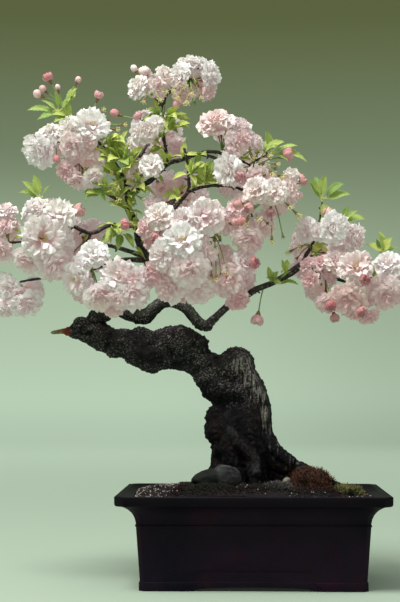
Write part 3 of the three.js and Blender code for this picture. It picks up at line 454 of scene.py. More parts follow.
mesh_plastic = Finish("drain_mesh_plastic")
film = mesh_plastic.grain(0.003)
mesh_plastic.surface(
    base_color=mesh_plastic.mix(film, tone(22, 24, 22), tone(44, 46, 42)),
    roughness=0.5 + 0.2 * film,
)
for side, name in ((-1, "left"), (1, "right")):
    bm = bmesh.new()
    at = Matrix.Translation((side * DRAIN_SPACING / 2, 0, FLOOR_TOP + 0.3))
    bmesh.ops.create_grid(
        bm, x_segments=SCREEN_CELLS, y_segments=SCREEN_CELLS, size=SCREEN_SIZE / 2, matrix=at,
    )
    cells = bm.faces[:]
    bmesh.ops.inset_individual(bm, faces=cells, thickness=SCREEN_STRAND / 2)
    bmesh.ops.delete(bm, geom=cells, context="FACES_ONLY")
    bmesh.ops.solidify(bm, geom=bm.faces[:], thickness=-SCREEN_STRAND)
    bmesh.ops.recalc_face_normals(bm, faces=bm.faces)
    finish_piece(
        bm, f"drain_mesh_{name}", mesh_plastic.material, "drain_mesh", f"drain_screen_{name}",
        crease=30,
    )

# Soil -----------------------------------------------------------------------------------------
# Gritty potting soil fills the pot to just under the lip and swells in a low mound towards the
# trunk. Pale grit lies on it at the left, and reddish, finer soil in the middle and at the right.

SOIL_HALF_WIDTH = RIM_WIDTH / 2 - 21
SOIL_HALF_DEPTH = RIM_DEPTH / 2 - 21
SOIL_EDGE = 115.6
SOIL_BOTTOM = 60
MOUND_RISE = 17
MOUND_HALVES = (158, 110)
TRUNK_FOOT = Vector((-8, -4))
GRAINS = 2900
PALE_GRIT_LEFT_OF = -98
# Mossy swells in the soil, each as its middle, half sizes, rise, moss shoots and redness.
SWELLS = [
    ((-128, -50), (24, 40), 5, 120, 0.4), ((-97, -88), (11, 12), 8, 260, 0.9),
    ((-84, -86), (10, 12), 9, 240, 0.4), ((-64, -98), (17, 8), 13, 380, 0.1),
    ((-38, -99), (15, 8), 11, 260, 0.2), ((-14, -92), (16, 9), 7, 260, 0.6),
    ((8, -82), (14, 10), 6, 240, 0.3), ((60, -86), (16, 12), 6, 300, 0.5),
    ((96, -72), (16, 14), 5, 260, 0.8), ((70, 70), (30, 20), 4, 400, 0.3),
    ((-60, 78), (34, 16), 4, 400, 0.2), ((110, 20), (16, 30), 4, 300, 0.5),
]


def soil_height(x, y):
    """The soil's level: up to the lip's slope at the wall, and a mound round the trunk."""
    away = Vector(((x - TRUNK_FOOT.x) / MOUND_HALVES[0], (y - TRUNK_FOOT.y) / MOUND_HALVES[1]))
    level = SOIL_EDGE + MOUND_RISE * max(0, 1 - away.length * away.length) ** 0.75
    for middle, halves, rise, *_ in SWELLS:
        away = ((x - middle[0]) / halves[0]) ** 2 + ((y - middle[1]) / halves[1]) ** 2
        level += rise * math.exp(-away)
    level += noise.noise(Vector((x / 26, y / 26, 3))) * 1.6
    return level + noise.noise(Vector((x / 9, y / 9, 7))) * 1.7


def hold(value, limit):
    """Keeps a value between minus the limit and the limit."""
    return max(-limit, min(limit, value))


bm = bmesh.new()
bmesh.ops.create_grid(bm, x_segments=96, y_segments=64, size=1)
for vert in bm.verts:
    x = vert.co.x * SOIL_HALF_WIDTH
    y = vert.co.y * SOIL_HALF_DEPTH
    crumb = noise.noise(Vector((x / 5, y / 5, 9))) * 1.8
    crumb += noise.noise(Vector((x / 1.3, y / 1.3, 5))) * 0.8
    vert.co = (x, y, soil_height(x, y) + crumb)
rim_edges = [edge for edge in bm.edges if edge.is_boundary]
for level, inset in ((SOIL_EDGE - 6, 14), (SOIL_BOTTOM, 18)):
    sides = bmesh.ops.extrude_edge_only(bm, edges=rim_edges)["geom"]
    for vert in only(bmesh.types.BMVert, sides):
        x = hold(vert.co.x, SOIL_HALF_WIDTH - inset)
        vert.co = (x, hold(vert.co.y, SOIL_HALF_DEPTH - inset), level)
    rim_edges = only(bmesh.types.BMEdge, sides)
bmesh.ops.contextual_create(bm, geom=rim_edges)
bmesh.ops.remove_doubles(bm, verts=bm.verts, dist=1e-4)
bmesh.ops.recalc_face_normals(bm, faces=bm.faces)

earth = Finish("potting_soil")
patches = earth.grain(0.018, detail=4)
crumbs = earth.grain(0.0018, detail=3)
dust = earth.grain(0.0006, detail=2)
colour = earth.mix(patches.band(0.4, 0.62), tone(7, 5, 6), tone(19, 12, 12))
colour = earth.mix(crumbs.band(0.55, 0.72), colour, tone(36, 28, 27))
colour = earth.mix(dust.band(0.62, 0.8) * 0.5, colour, tone(110, 100, 92))
earth.surface(
    base_color=colour, roughness=0.95, specular_ior_level=0.25,
    normal=earth.bump(crumbs * 0.7 + dust * 0.3, 0.0012),
)
finish_piece(bm, "soil_mass", earth.material, "soil", "soil")


def add_copy(bm, mesh, matrix, **marks):
    """Adds a moved copy of a mesh to a bmesh, with a value for each attribute that marks it."""
    copy = mesh.copy()
    copy.transform(matrix)
    for name, value in marks.items():
        mark = copy.attributes.new(name, "FLOAT", "POINT")
        mark.data.foreach_set("value", [value] * len(copy.vertices))
    bm.from_mesh(copy)
    bpy.data.meshes.remove(copy)


def scatter(dice, spread):
    """A random step, mostly shorter than spread, in any direction."""
    return Vector([dice.gauss(0, spread) for _ in "xyz"])


bm = bmesh.new()
bmesh.ops.create_icosphere(bm, subdivisions=1, radius=1)
grain = mesh_from(bm, "grain")

bm = bmesh.new()
dice = random.Random(11)
for _ in range(GRAINS):
    x = dice.uniform(-1, 1) * (SOIL_HALF_WIDTH - 2)
    y = -abs(dice.gauss(0, 1)) * 50 + 10 if dice.random() < 0.6 else dice.uniform(-98, 98)
    if abs(y) > SOIL_HALF_DEPTH - 2:
        continue
    pale = dice.random() < (0.8 if x < PALE_GRIT_LEFT_OF else 0.2)
    shade = dice.uniform(0.5, 1) if pale else dice.uniform(0, 0.4)
    size = dice.uniform(0.6, 1.6)
    squash = Matrix.Diagonal((size, size * dice.uniform(0.6, 1), size * dice.uniform(0.5, 0.9), 1))
    at = Matrix.Translation((x, y, soil_height(x, y) + 0.6))
    turn = Matrix.Rotation(dice.uniform(0, math.tau), 4, scatter(dice, 1))
    add_copy(bm, grain, at @ turn @ squash, shade=shade)

grit = Finish("grit")
lot = grit.attribute("shade")
fleck = grit.grain(0.0008)
colour = grit.mix(lot.band(0, 0.5), tone(8, 6, 7), tone(34, 24, 23))
colour = grit.mix(lot.band(0.45, 0.9), colour, tone(166, 158, 152))
colour = grit.mix(fleck.band(0.5, 0.8) * 0.4, colour, tone(60, 50, 46))
grit.surface(base_color=colour, roughness=0.88, specular_ior_level=0.3)
finish_piece(bm, "soil_grit", grit.material, "soil")

# Wood -----------------------------------------------------------------------------------------
# The living wood grew as one piece. Strands of it twist round one another up the old trunk,
# which leans to the left, necks in at two scars and runs out level to a dead, barkless tip.

SIGHT = Vector((-11, -2000, 261))  # the tree's front is composed for an eye here
VOXEL = 1.85
MELT_ROUNDS = 26  # of smoothing, after which only the broad run of the wood is left


def place(point):
    """A point of the crown, given in the front view with its depth, moved along its sight line."""
    x, y, z = point[:3]
    return SIGHT.lerp(Vector((x, 0, z)), (y - SIGHT.y) / -SIGHT.y)


# Each point of the wood has its place and the wood's radius there.
LOWER_TRUNK = [
    (-20, 4, 92, 44), (-19, 2, 130, 42), (-16, 0, 155, 40), (-14, -4, 182, 40), (-13, -5, 208, 38),
    (-7, 0, 238, 31), (-22, 4, 254, 37), (-40, 2, 269, 33), (-58, -2, 279, 23),
]
UPPER_TRUNK = [
    (-57, -2, 282, 22), (-74, 0, 292, 22), (-86, 4, 305, 29), (-102, 6, 311, 30), (-118, 4, 308, 28),
    (-134, -2, 304, 28), (-152, -6, 309, 26), (-168, -4, 314, 20), (-182, 0, 317, 18), (-198, 4, 323, 20),
    (-217, 2, 331, 20), (-233, 0, 333, 12), (-246, -1, 333, 7.5), (-257, -2, 332, 4.6),
    (-274, -3, 330, 2.3),
]
ROOTS = [
    [
        (2, -4, 204, 21), (14, -8, 182, 20), (31, -12, 161, 16), (50, -18, 150, 13), (68, -22, 144, 12),
        (84, -26, 132, 9), (98, -30, 116, 6),
    ],
    [(-30, -5, 162, 20), (-44, -18, 136, 13), (-58, -40, 116, 7)],
    [(-10, -26, 184, 10), (-4, -36, 162, 9), (0, -42, 142, 8), (4, -48, 116, 6)],
    [(-30, 25, 152, 20), (-54, 48, 130, 12), (-76, 70, 110, 7)],
    [(10, 25, 152, 18), (36, 50, 130, 12), (58, 72, 110, 7)],
]
# Ridges of bark that stand out on the trunk: one down its right side, which carries a painted
# highlight, and a smooth fold that runs slantwise into the front root and carries a painted sheen.
RIDGES = [
    [
        (-12, -24, 288, 7), (-3, -22, 270, 9), (4, -20, 246, 9), (9, -18, 220, 9), (12, -20, 198, 9),
        (30, -24, 174, 9), (54, -28, 156, 8),
    ],
    [(-6, -28, 264, 4), (3, -29, 242, 5), (6, -31, 214, 6), (6, -32, 190, 5), (14, -32, 170, 4)],
    [(-30, -36, 202, 6), (-22, -40, 187, 8), (-9, -42, 173, 8), (3, -44, 162, 7), (6, -48, 140, 5)],
]
# Burls: lumps of callus and old wounds grown over, as (x, y, z, radius).
BURLS = [
    (-97, -4, 315, 26), (-71, -6, 315, 13), (-70, -12, 290, 12), (-32, -8, 279, 23), (-18, -12, 290, 16),
    (-45, -12, 216, 19), (-44, -14, 200, 21), (-28, -18, 208, 24), (-36, -10, 188, 18),
    (-40, -4, 208, 22), (-57, -4, 252, 12), (-60, -8, 272, 20), (-44, -8, 262, 23), (-112, -12, 318, 15),
    (-135, -10, 292, 17), (-150, -8, 322, 18), (-172, -6, 325, 12), (-186, -4, 308, 13),
    (-205, -6, 322, 16), (-231, -4, 341, 12), (-240, -6, 330, 9), (-120, -10, 300, 18), (-22, 8, 286, 26),
    (-100, 12, 312, 26), (-150, 8, 306, 20), (-36, 16, 200, 24), (0, 14, 236, 22), (-6, 22, 190, 26),
    (-40, -20, 176, 13), (-207, 0, 352, 11), (-148, 6, 352, 10.5), (-160, 12, 354, 10),
    (-66, -15, 340, 8.5), (-107, -2, 376, 8.5),
]
BRANCHES = [
    [
        (-214, 6, 336, 14), (-211, 10, 352, 11), (-200, 18, 362, 9), (-184, 20, 361, 7.5),
        (-165, 14, 355, 10), (-144, 6, 352, 11), (-133, 2, 362, 9.5), (-121, 0, 371, 8.5),
        (-107, -2, 374, 9), (-93, -2, 380, 7),
    ],
    [(-216, 2, 338, 11), (-206, -2, 350, 8), (-190, -4, 351, 5)],
    [
        (-108, -2, 375, 6.5), (-118, 2, 391, 6.8), (-134, 6, 405, 7.2), (-140, 8, 427, 7),
        (-151, 5, 450, 6.4), (-157, 0, 477, 6), (-166, -5, 495, 5.4), (-168, -6, 515, 4.8),
        (-173, -3, 535, 4.3), (-187, 0, 561, 3.5), (-204, 2, 585, 2.8), (-222, 4, 600, 2),
    ],
    [
        (-107, -2, 373, 9), (-90, -8, 364, 8.2), (-78, -12, 350, 8), (-66, -15, 340, 8.4),
        (-53, -15, 339, 7.4),
    ],
]
TWIGS = [
    [
        (-156, 0, 476, 3.8), (-177, -8, 474, 3.3), (-191, -16, 476, 3), (-217, -26, 465, 2.8),
        (-231, -32, 469, 2.6), (-245, -36, 475, 2.3), (-268, -38, 468, 2), (-298, -34, 456, 1.6),
        (-326, -26, 452, 1.3),
    ],
    [(-270, -38, 467, 1.6), (-282, -34, 490, 1.3), (-286, -31, 507, 1.1)],
    [(-217, -26, 465, 2), (-224, -28, 452, 1.6), (-227, -30, 446, 1.4)],
    [
        (-141, 8, 428, 4), (-178, 22, 428, 3.2), (-218, 12, 416, 2.8), (-260, -4, 407, 2.3),
        (-298, -10, 402, 1.8), (-314, -12, 399, 1.4),
    ],
    [
        (-168, -4, 497, 3), (-180, -8, 508, 2.3), (-200, -12, 520, 2), (-218, -10, 527, 1.7),
        (-228, -4, 540, 1.4), (-230, 0, 556, 1.3),
    ],
    [(-206, 14, 420, 2.6), (-213, -8, 419, 2), (-215, -32, 416, 1.5)],
    [(-178, 22, 428, 2.6), (-176, -6, 414, 2), (-174, -34, 400, 1.5)],
    [(-216, 4, 596, 2), (-238, 4, 596, 1.6), (-262, 4, 588, 1.3)],
    [(-220, 4, 599, 1.8), (-240, 4, 618, 1.4), (-254, 4, 634, 1.2)],
    [(-188, 0, 563, 2.8), (-202, 22, 578, 2), (-212, 42, 588, 1.4)],
    [
        (-168, -6, 512, 4.4), (-150, -10, 527, 3.8), (-131, -13, 541, 3.4), (-113, -16, 559, 3.2),
        (-96, -19, 564, 3), (-70, -23, 573, 2.8), (-54, -26, 575, 2.5), (-40, -28, 572, 2.2),
        (-17, -30, 563, 1.8), (-2, -30, 556, 1.4),
    ],
    [
        (-114, -16, 558, 2.8), (-117, -12, 579, 2.4), (-120, -6, 597, 2.2), (-121, -2, 622, 1.9),
        (-117, 0, 649, 1.7), (-112, 2, 660, 1.5),
    ],
    [(-119, 0, 634, 1.6), (-128, 2, 645, 1.3), (-136, 3, 652, 1.2)],
    [(-115, 1, 654, 1.5), (-100, 2, 664, 1.3), (-88, 3, 668, 1.2)],
    [
        (-156, 0, 478, 3.6), (-135, -10, 486, 3.2), (-113, -16, 493, 3), (-95, -20, 510, 2.8),
        (-86, -22, 523, 2.6), (-86, -26, 540, 2.3), (-88, -30, 561, 2), (-92, -34, 580, 1.6),
    ],
    [
        (-88, -21, 520, 2.4), (-66, -32, 527, 2.2), (-30, -44, 528, 2), (0, -54, 518, 1.8),
        (22, -58, 512, 1.5),
    ],
    [(-6, -52, 519, 1.9), (-4, -50, 500, 1.4), (0, -47, 486, 1.2)],
    [
        (-95, -2, 381, 4.5), (-80, 0, 405, 3.8), (-72, -10, 438, 3), (-68, -32, 460, 2.4),
        (-68, -51, 472, 1.8),
    ],
    [(-134, -10, 486, 2.6), (-128, -18, 478, 2), (-121, -24, 472, 1.5)],
    [(-77, -2, 414, 3), (-84, -32, 424, 2.4), (-92, -61, 435, 1.8)],
    [(-79, -1, 407, 3), (-58, -22, 407, 2.2), (-38, -37, 408, 1.6)],
    [(-92, -2, 386, 3), (-90, -24, 396, 2), (-89, -41, 399, 1.6)],
    [
        (-60, -15, 341, 6.4), (-46, -19, 354, 5.2), (-34, -24, 365, 4.8), (-8, -30, 380, 4.4),
        (4, -32, 388, 4.2), (22, -34, 395, 3.8), (48, -35, 407, 3.6), (66, -32, 419, 3.2),
    ],
    [
        (65, -32, 418, 3), (72, -30, 434, 2.6), (79, -26, 446, 2.3), (87, -22, 466, 1.7),
        (90, -20, 480, 1.5), (94, -18, 506, 1.2),
    ],
    [
        (64, -32, 418, 3), (82, -32, 411, 2.6), (95, -32, 406, 2.4), (112, -37, 402, 2.2),
        (132, -41, 398, 1.8), (158, -32, 400, 1.6), (174, -24, 402, 1.3),
    ],
    [(88, -22, 469, 1.6), (104, -22, 477, 1.3), (116, -24, 478, 1.1)],
    [(158, -32, 400, 1.6), (166, -29, 420, 1.3), (171, -25, 434, 1.1)],
    [(-4, -30, 557, 1.6), (11, -28, 566, 1.3), (23, -26, 572, 1.1)],
    [(-68, -34, 461, 1.8), (-61, -40, 463, 1.4), (-56, -43, 463, 1.1)],
    [(-141, 10, 430, 4), (-165, 36, 440, 3.2), (-195, 62, 448, 2.6), (-222, 82, 452, 1.8)],
    [(-150, 8, 450, 4.6), (-134, 38, 470, 3.8), (-116, 72, 495, 3), (-102, 104, 512, 2)],
    [(-117, 70, 492, 3), (-97, 84, 466, 2.3), (-83, 94, 447, 1.6)],
    [(-173, 0, 532, 3.6), (-158, 30, 560, 2.9), (-142, 58, 584, 2.2), (-132, 76, 596, 1.5)],
    [(-72, -20, 573, 2.4), (-50, 14, 566, 2.1), (-28, 42, 556, 1.8), (-14, 60, 549, 1.4)],
    [(20, -32, 394, 2.6), (42, -4, 408, 2.3), (62, 26, 422, 1.9), (80, 48, 434, 1.4)],
]


def tubes(paths, round_steps, length_steps):
    """A bmesh of smooth closed tubes through lists of points (position, radius)."""
    curve = bpy.data.curves.new("tubes", "CURVE")
    curve.dimensions = "3D"
    curve.bevel_depth = 1
    curve.bevel_resolution = round_steps
    curve.use_fill_caps = True
    curve.twist_mode = "MINIMUM"
    for path in paths:
        spline = curve.splines.new("BEZIER")
        spline.bezier_points.add(len(path) - 1)
        spline.resolution_u = length_steps
        for knot, (position, radius) in zip(spline.bezier_points, path):
            knot.co = position
            knot.radius = radius
            knot.handle_left_type = "AUTO"
            knot.handle_right_type = "AUTO"
    return baked_bmesh(link("tubes", curve))


def placed(points):
    return [(place(point), point[3]) for point in points]


def strands(points, count, spread, thickness, turns, lean):
    """Strands of wood that twist round a limb together and swell as it does."""
    middle = placed(points)
    last = len(middle) - 1
    paths = []
    for strand in range(count):
        path = []
        for number, (position, radius) in enumerate(middle):
            along = (middle[min(number + 1, last)][0] - middle[max(number - 1, 0)][0]).normalized()
            side = along.cross(Vector((0, 1, 0))).normalized()
            angle = lean + math.tau * (strand / count + turns * (number / last))
            offset = side * math.cos(angle) + side.cross(along) * math.sin(angle)
            wander = 1 + 0.18 * noise.noise(position / 30 + Vector((strand * 7, 0, 0)))
            path.append((position + offset * radius * spread * wander, radius * thickness))
        paths.append(path)
    return paths


paths = strands(LOWER_TRUNK, count=6, spread=0.56, thickness=0.47, turns=0.28, lean=0.4)
paths += strands(UPPER_TRUNK, count=5, spread=0.52, thickness=0.5, turns=0.9, lean=0.2)
solid = tubes(paths + [placed(root) for root in ROOTS + RIDGES + BRANCHES], 4, 8)
for x, y, z, radius in BURLS:
    at = Matrix.Translation(place((x, y, z)))
    bmesh.ops.create_icosphere(solid, subdivisions=3, radius=radius, matrix=at)
blank = mesh_of(solid, "wood_blank", board.material)
melt = blank.modifiers.new("melt", "REMESH")
melt.mode = "VOXEL"
melt.voxel_size = VOXEL
wood = baked_bmesh(blank)


def soften(bm, rounds):
    for _ in range(rounds):
        bmesh.ops.smooth_vert(
            bm, verts=bm.verts, factor=0.5, use_axis_x=True, use_axis_y=True, use_axis_z=True,
        )


# How far each point stands out from the smoothed wood tells the lumps from the folds.
soften(wood, 2)
wood.normal_update()
shape = [vert.co.copy() for vert in wood.verts]
facings = [vert.normal.copy() for vert in wood.verts]
soften(wood, MELT_ROUNDS)
proud = [(at - vert.co).dot(out) for at, out, vert in zip(shape, facings, wood.verts)]

TRUNK_BODY = placed(LOWER_TRUNK) + placed(UPPER_TRUNK)
HIGHLIGHTED_RIDGES = [at for at, radius in placed(RIDGES[0] + ROOTS[0])]
fold_points = [at for at, radius in placed(RIDGES[2])]
FOLD = [
    start.lerp(end, step / 4) for start, end in zip(fold_points, fold_points[1:]) for step in range(4)
]
FOLD_TOP = 215
DEAD_FROM = -242  # the jin's bare wood, to the left of this
DEAD_TURN = 20  # the length over which its bark gives way, red and then silvery
LUMP_MELT = 0.62  # how far the lumps of the trunk have grown into one another
SHOULDER = 225  # below this level the trunk gets less of the lichen and painted top light, so it is darker
OLD_BARK_TOP = 345  # above this level the bark is thin and fine
YOUNG_FROM = 255  # lichen films the slim branches above this level
PLATE_SIZE = 7.5
FLAKE_SIZE = 3.2
CORD_WIDTH = 2
CORD_LENGTH = 34
SWIRL_SEED = 4


def cracks(point, size):
    """0 in the cracks between plates of bark about size millimetres wide, up to 1 on a plate."""
    near, second = noise.voronoi(point / size)[0][:2]
    return min(1, (second - near) * 2.2)


def ramp(value, start, end):
    """0 on the near side of start, 1 past end, and even between them."""
    return min(1, max(0, (value - start) / (end - start)))


def nearest(point, spots):
    return min((point - spot).length for spot in spots)


LAYERS = ("plate", "lichen", "stand", "bare", "grain", "young")
layers = [wood.verts.layers.float.new(name) for name in LAYERS]
noise.seed_set(SWIRL_SEED)  # noise_vector is drawn anew in every run without it
for vert, at, out, stand in zip(wood.verts, shape, facings, proud):
    swirl = noise.noise_vector(at / 14) * 4
    plates = cracks(at + swirl, PLATE_SIZE)
    flakes = cracks(at + swirl * 0.5 + Vector((40, 0, 0)), FLAKE_SIZE)
    fine = noise.noise(at / 1.9)
    gap = min((at - middle).length / radius for middle, radius in TRUNK_BODY)
    old = min(1, max(0.15, (at.z < OLD_BARK_TOP) - max(0, gap - 2.5)))
    bare = ramp(at.x, DEAD_FROM, DEAD_FROM - DEAD_TURN)
    ridge = ramp(nearest(at, HIGHLIGHTED_RIDGES), 27.2, 10.2) * (out.y < 0.3)
    cord = noise.noise(Vector((at.x / CORD_WIDTH, at.y / CORD_WIDTH, at.z / CORD_LENGTH)))
    rise = 1.3 * noise.noise(at / 11) + 1.8 * (plates - 0.6) + 1.1 * (flakes - 0.5) + 0.6 * fine
    rise = rise * (1 - ridge) + (1.9 * cord + 0.5 * fine) * ridge
    smooth = ramp(nearest(at, FOLD), 12, 0) if at.z < FOLD_TOP else 0
    rise *= (0.2 + 0.8 * old) * (1 - 0.85 * bare) * (1 - 0.7 * smooth)
    melt_here = LUMP_MELT * ramp(gap, 2, 1) * max(0.25, ramp(at.z, SHOULDER, SHOULDER + 30))
    vert.co = at + out * (rise - stand * melt_here)
    height = ramp(at.z, SHOULDER, SHOULDER + 45)
    # The lichen mark is strongest where the wood faces up, forward and to the left, towards the lamp, and
    # high on the tree: it places real lichen there, and painted top light as well.
    lamp_side = max(0.45 * height, 0.5 + out.z * 0.55 - out.y * 0.08 - out.x * 0.08, 0)
    # The ridge's painted highlight is weaker low down.
    ridge_highlight_height = max(0.58, ramp(at.z, 140, 220))
    marks = (
        0.45 * plates + 0.3 * flakes + 0.25 * (0.5 + 0.5 * fine),
        lamp_side * (0.12 + 0.88 * height),
        0.5 + hold(stand, 2.5) * 0.12 + rise * 0.14,
        bare,
        max(ridge * (0.5 + 0.5 * cord) * ridge_highlight_height, 0.52 * smooth ** 0.5),
        ramp(gap, 1.35, 1.85) if at.z > YOUNG_FROM else 0,
    )
    for layer, mark in zip(layers, marks):
        vert[layer] = mark

bark = Finish("old_bark")
plate, lichen, stand, bare, cords_and_highlight, young = [bark.attribute(name) for name in LAYERS]
mottle = bark.grain(0.014, detail=4)
cloud = bark.grain(0.03, detail=3)
flake = bark.grain(0.0024, detail=3)
spot = bark.grain(0.0011, detail=3)
# Near black in the cracks between plates, which is the bark's own colour, and in the hollows between
# lumps where stand is low, which is painted shade.
colour = bark.mix(plate.band(0.15, 0.85) * stand.band(0.2, 0.8), tone(4, 4, 6), tone(21, 19, 22))
colour = bark.mix(mottle.band(0.5, 0.68) * 0.6, colour, tone(30, 16, 15))
# Algae, a grey lightening and pale lichen crust go where the lichen mark and the relief are high: real
# lichen and algae, laid on as painted highlight on the lamp side and the raised parts.
colour = bark.mix(cloud.band(0.52, 0.66) * lichen.band(0, 0.7) * 0.3, colour, tone(28, 35, 23))
colour = bark.mix(lichen.band(0.15, 0.8) * stand.band(0.15, 0.5) * 0.6, colour, tone(54, 49, 52))
film = young * lichen.band(0.35, 0.85) * (0.3 + 0.7 * flake.band(0.42, 0.58)) * 0.8
colour = bark.mix(film, colour, tone(82, 92, 78))
crust = spot.band(0.5, 0.64) * (0.03 + 0.97 * lichen.band(0.0, 0.7)) * stand.band(0.25, 0.6)
colour = bark.mix(crust * mottle.band(0.36, 0.56) * 0.8, colour, tone(150, 143, 143))
# Paler flakes on the raised parts: bark flakes, brightened there as painted highlight.
colour = bark.mix(flake.band(0.56, 0.66) * stand.band(0.4, 0.7) * 0.5, colour, tone(62, 56, 56))
# A pale streak along the right-hand ridge and the smooth fold, broken by the cord texture: a painted
# highlight.
streak = cords_and_highlight.band(0.3, 0.7) * (0.4 + 0.6 * spot.band(0.4, 0.6))
colour = bark.mix(streak, colour, tone(156, 149, 144))
dead_wood = bark.mix(flake.band(0.4, 0.6), tone(112, 92, 68), tone(158, 140, 108))
dead_wood = bark.mix(bare.band(0.45, 1), tone(116, 50, 40), dead_wood)
colour = bark.mix(bare.band(0.02, 0.3), colour, dead_wood)
bark.surface(
    base_color=colour, roughness=0.85, specular_ior_level=0.14,
    normal=bark.bump(flake * 0.6 + spot * 0.4, 0.0012),
)
finish_piece(wood, "old_wood", bark.material, "bark", "trunk_and_branches")

# Twigs ----------------------------------------------------------------------------------------
# The young wood is thin, smooth and purplish brown, ringed with old bud scars. Short spurs, on
# which the buds grew, stand out all along it.

SPUR_SPACING = 11
SPUR_LENGTH = 4.5


def add_part(bm, part):
    """Adds one bmesh to another and frees it."""
    mesh = mesh_from(part, "part")
    bm.from_mesh(mesh)
    bpy.data.meshes.remove(mesh)


dice = random.Random(3)
twig_paths = [placed(twig) for twig in TWIGS]
spurs = []
for path in twig_paths:
    for (start, thick), (end, thin) in zip(path, path[1:]):
        count = int((end - start).length / SPUR_SPACING)
        for number in range(count):
            foot = start.lerp(end, (number + dice.random()) / count)
            out = scatter(dice, 1).cross(end - start).normalized()
            out = (out + (end - start).normalized() * 0.5).normalized()
            top = foot + out * (thin + SPUR_LENGTH * dice.uniform(0.3, 1))
            spurs.append([(foot, thin * 0.9), (foot.lerp(top, 0.7), 1.1), (top, 0.8)])
twigs = tubes(twig_paths, 2, 6)
add_part(twigs, tubes(spurs, 1, 1))
twigs.normal_update()
for vert in twigs.verts:
    vert.co += vert.normal * (0.5 * noise.noise(vert.co / 2.4) + 0.5 * noise.noise(vert.co / 6))

twig_bark = Finish("twig_bark")
ring = twig_bark.grain(0.004, detail=2)
dots = twig_bark.grain(0.0013, detail=1)
moss_film = twig_bark.grain(0.02, detail=2)
colour = twig_bark.mix(ring.band(0.35, 0.65), tone(16, 12, 13), tone(48, 38, 36))
colour = twig_bark.mix(moss_film.band(0.5, 0.65) * 0.5, colour, tone(62, 66, 50))
colour = twig_bark.mix(dots.band(0.55, 0.65) * 0.8, colour, tone(118, 108, 102))
twig_bark.surface(base_color=colour, roughness=0.75, normal=twig_bark.bump(dots, 0.0004))
finish_piece(twigs, "twigs", twig_bark.material, "bark")
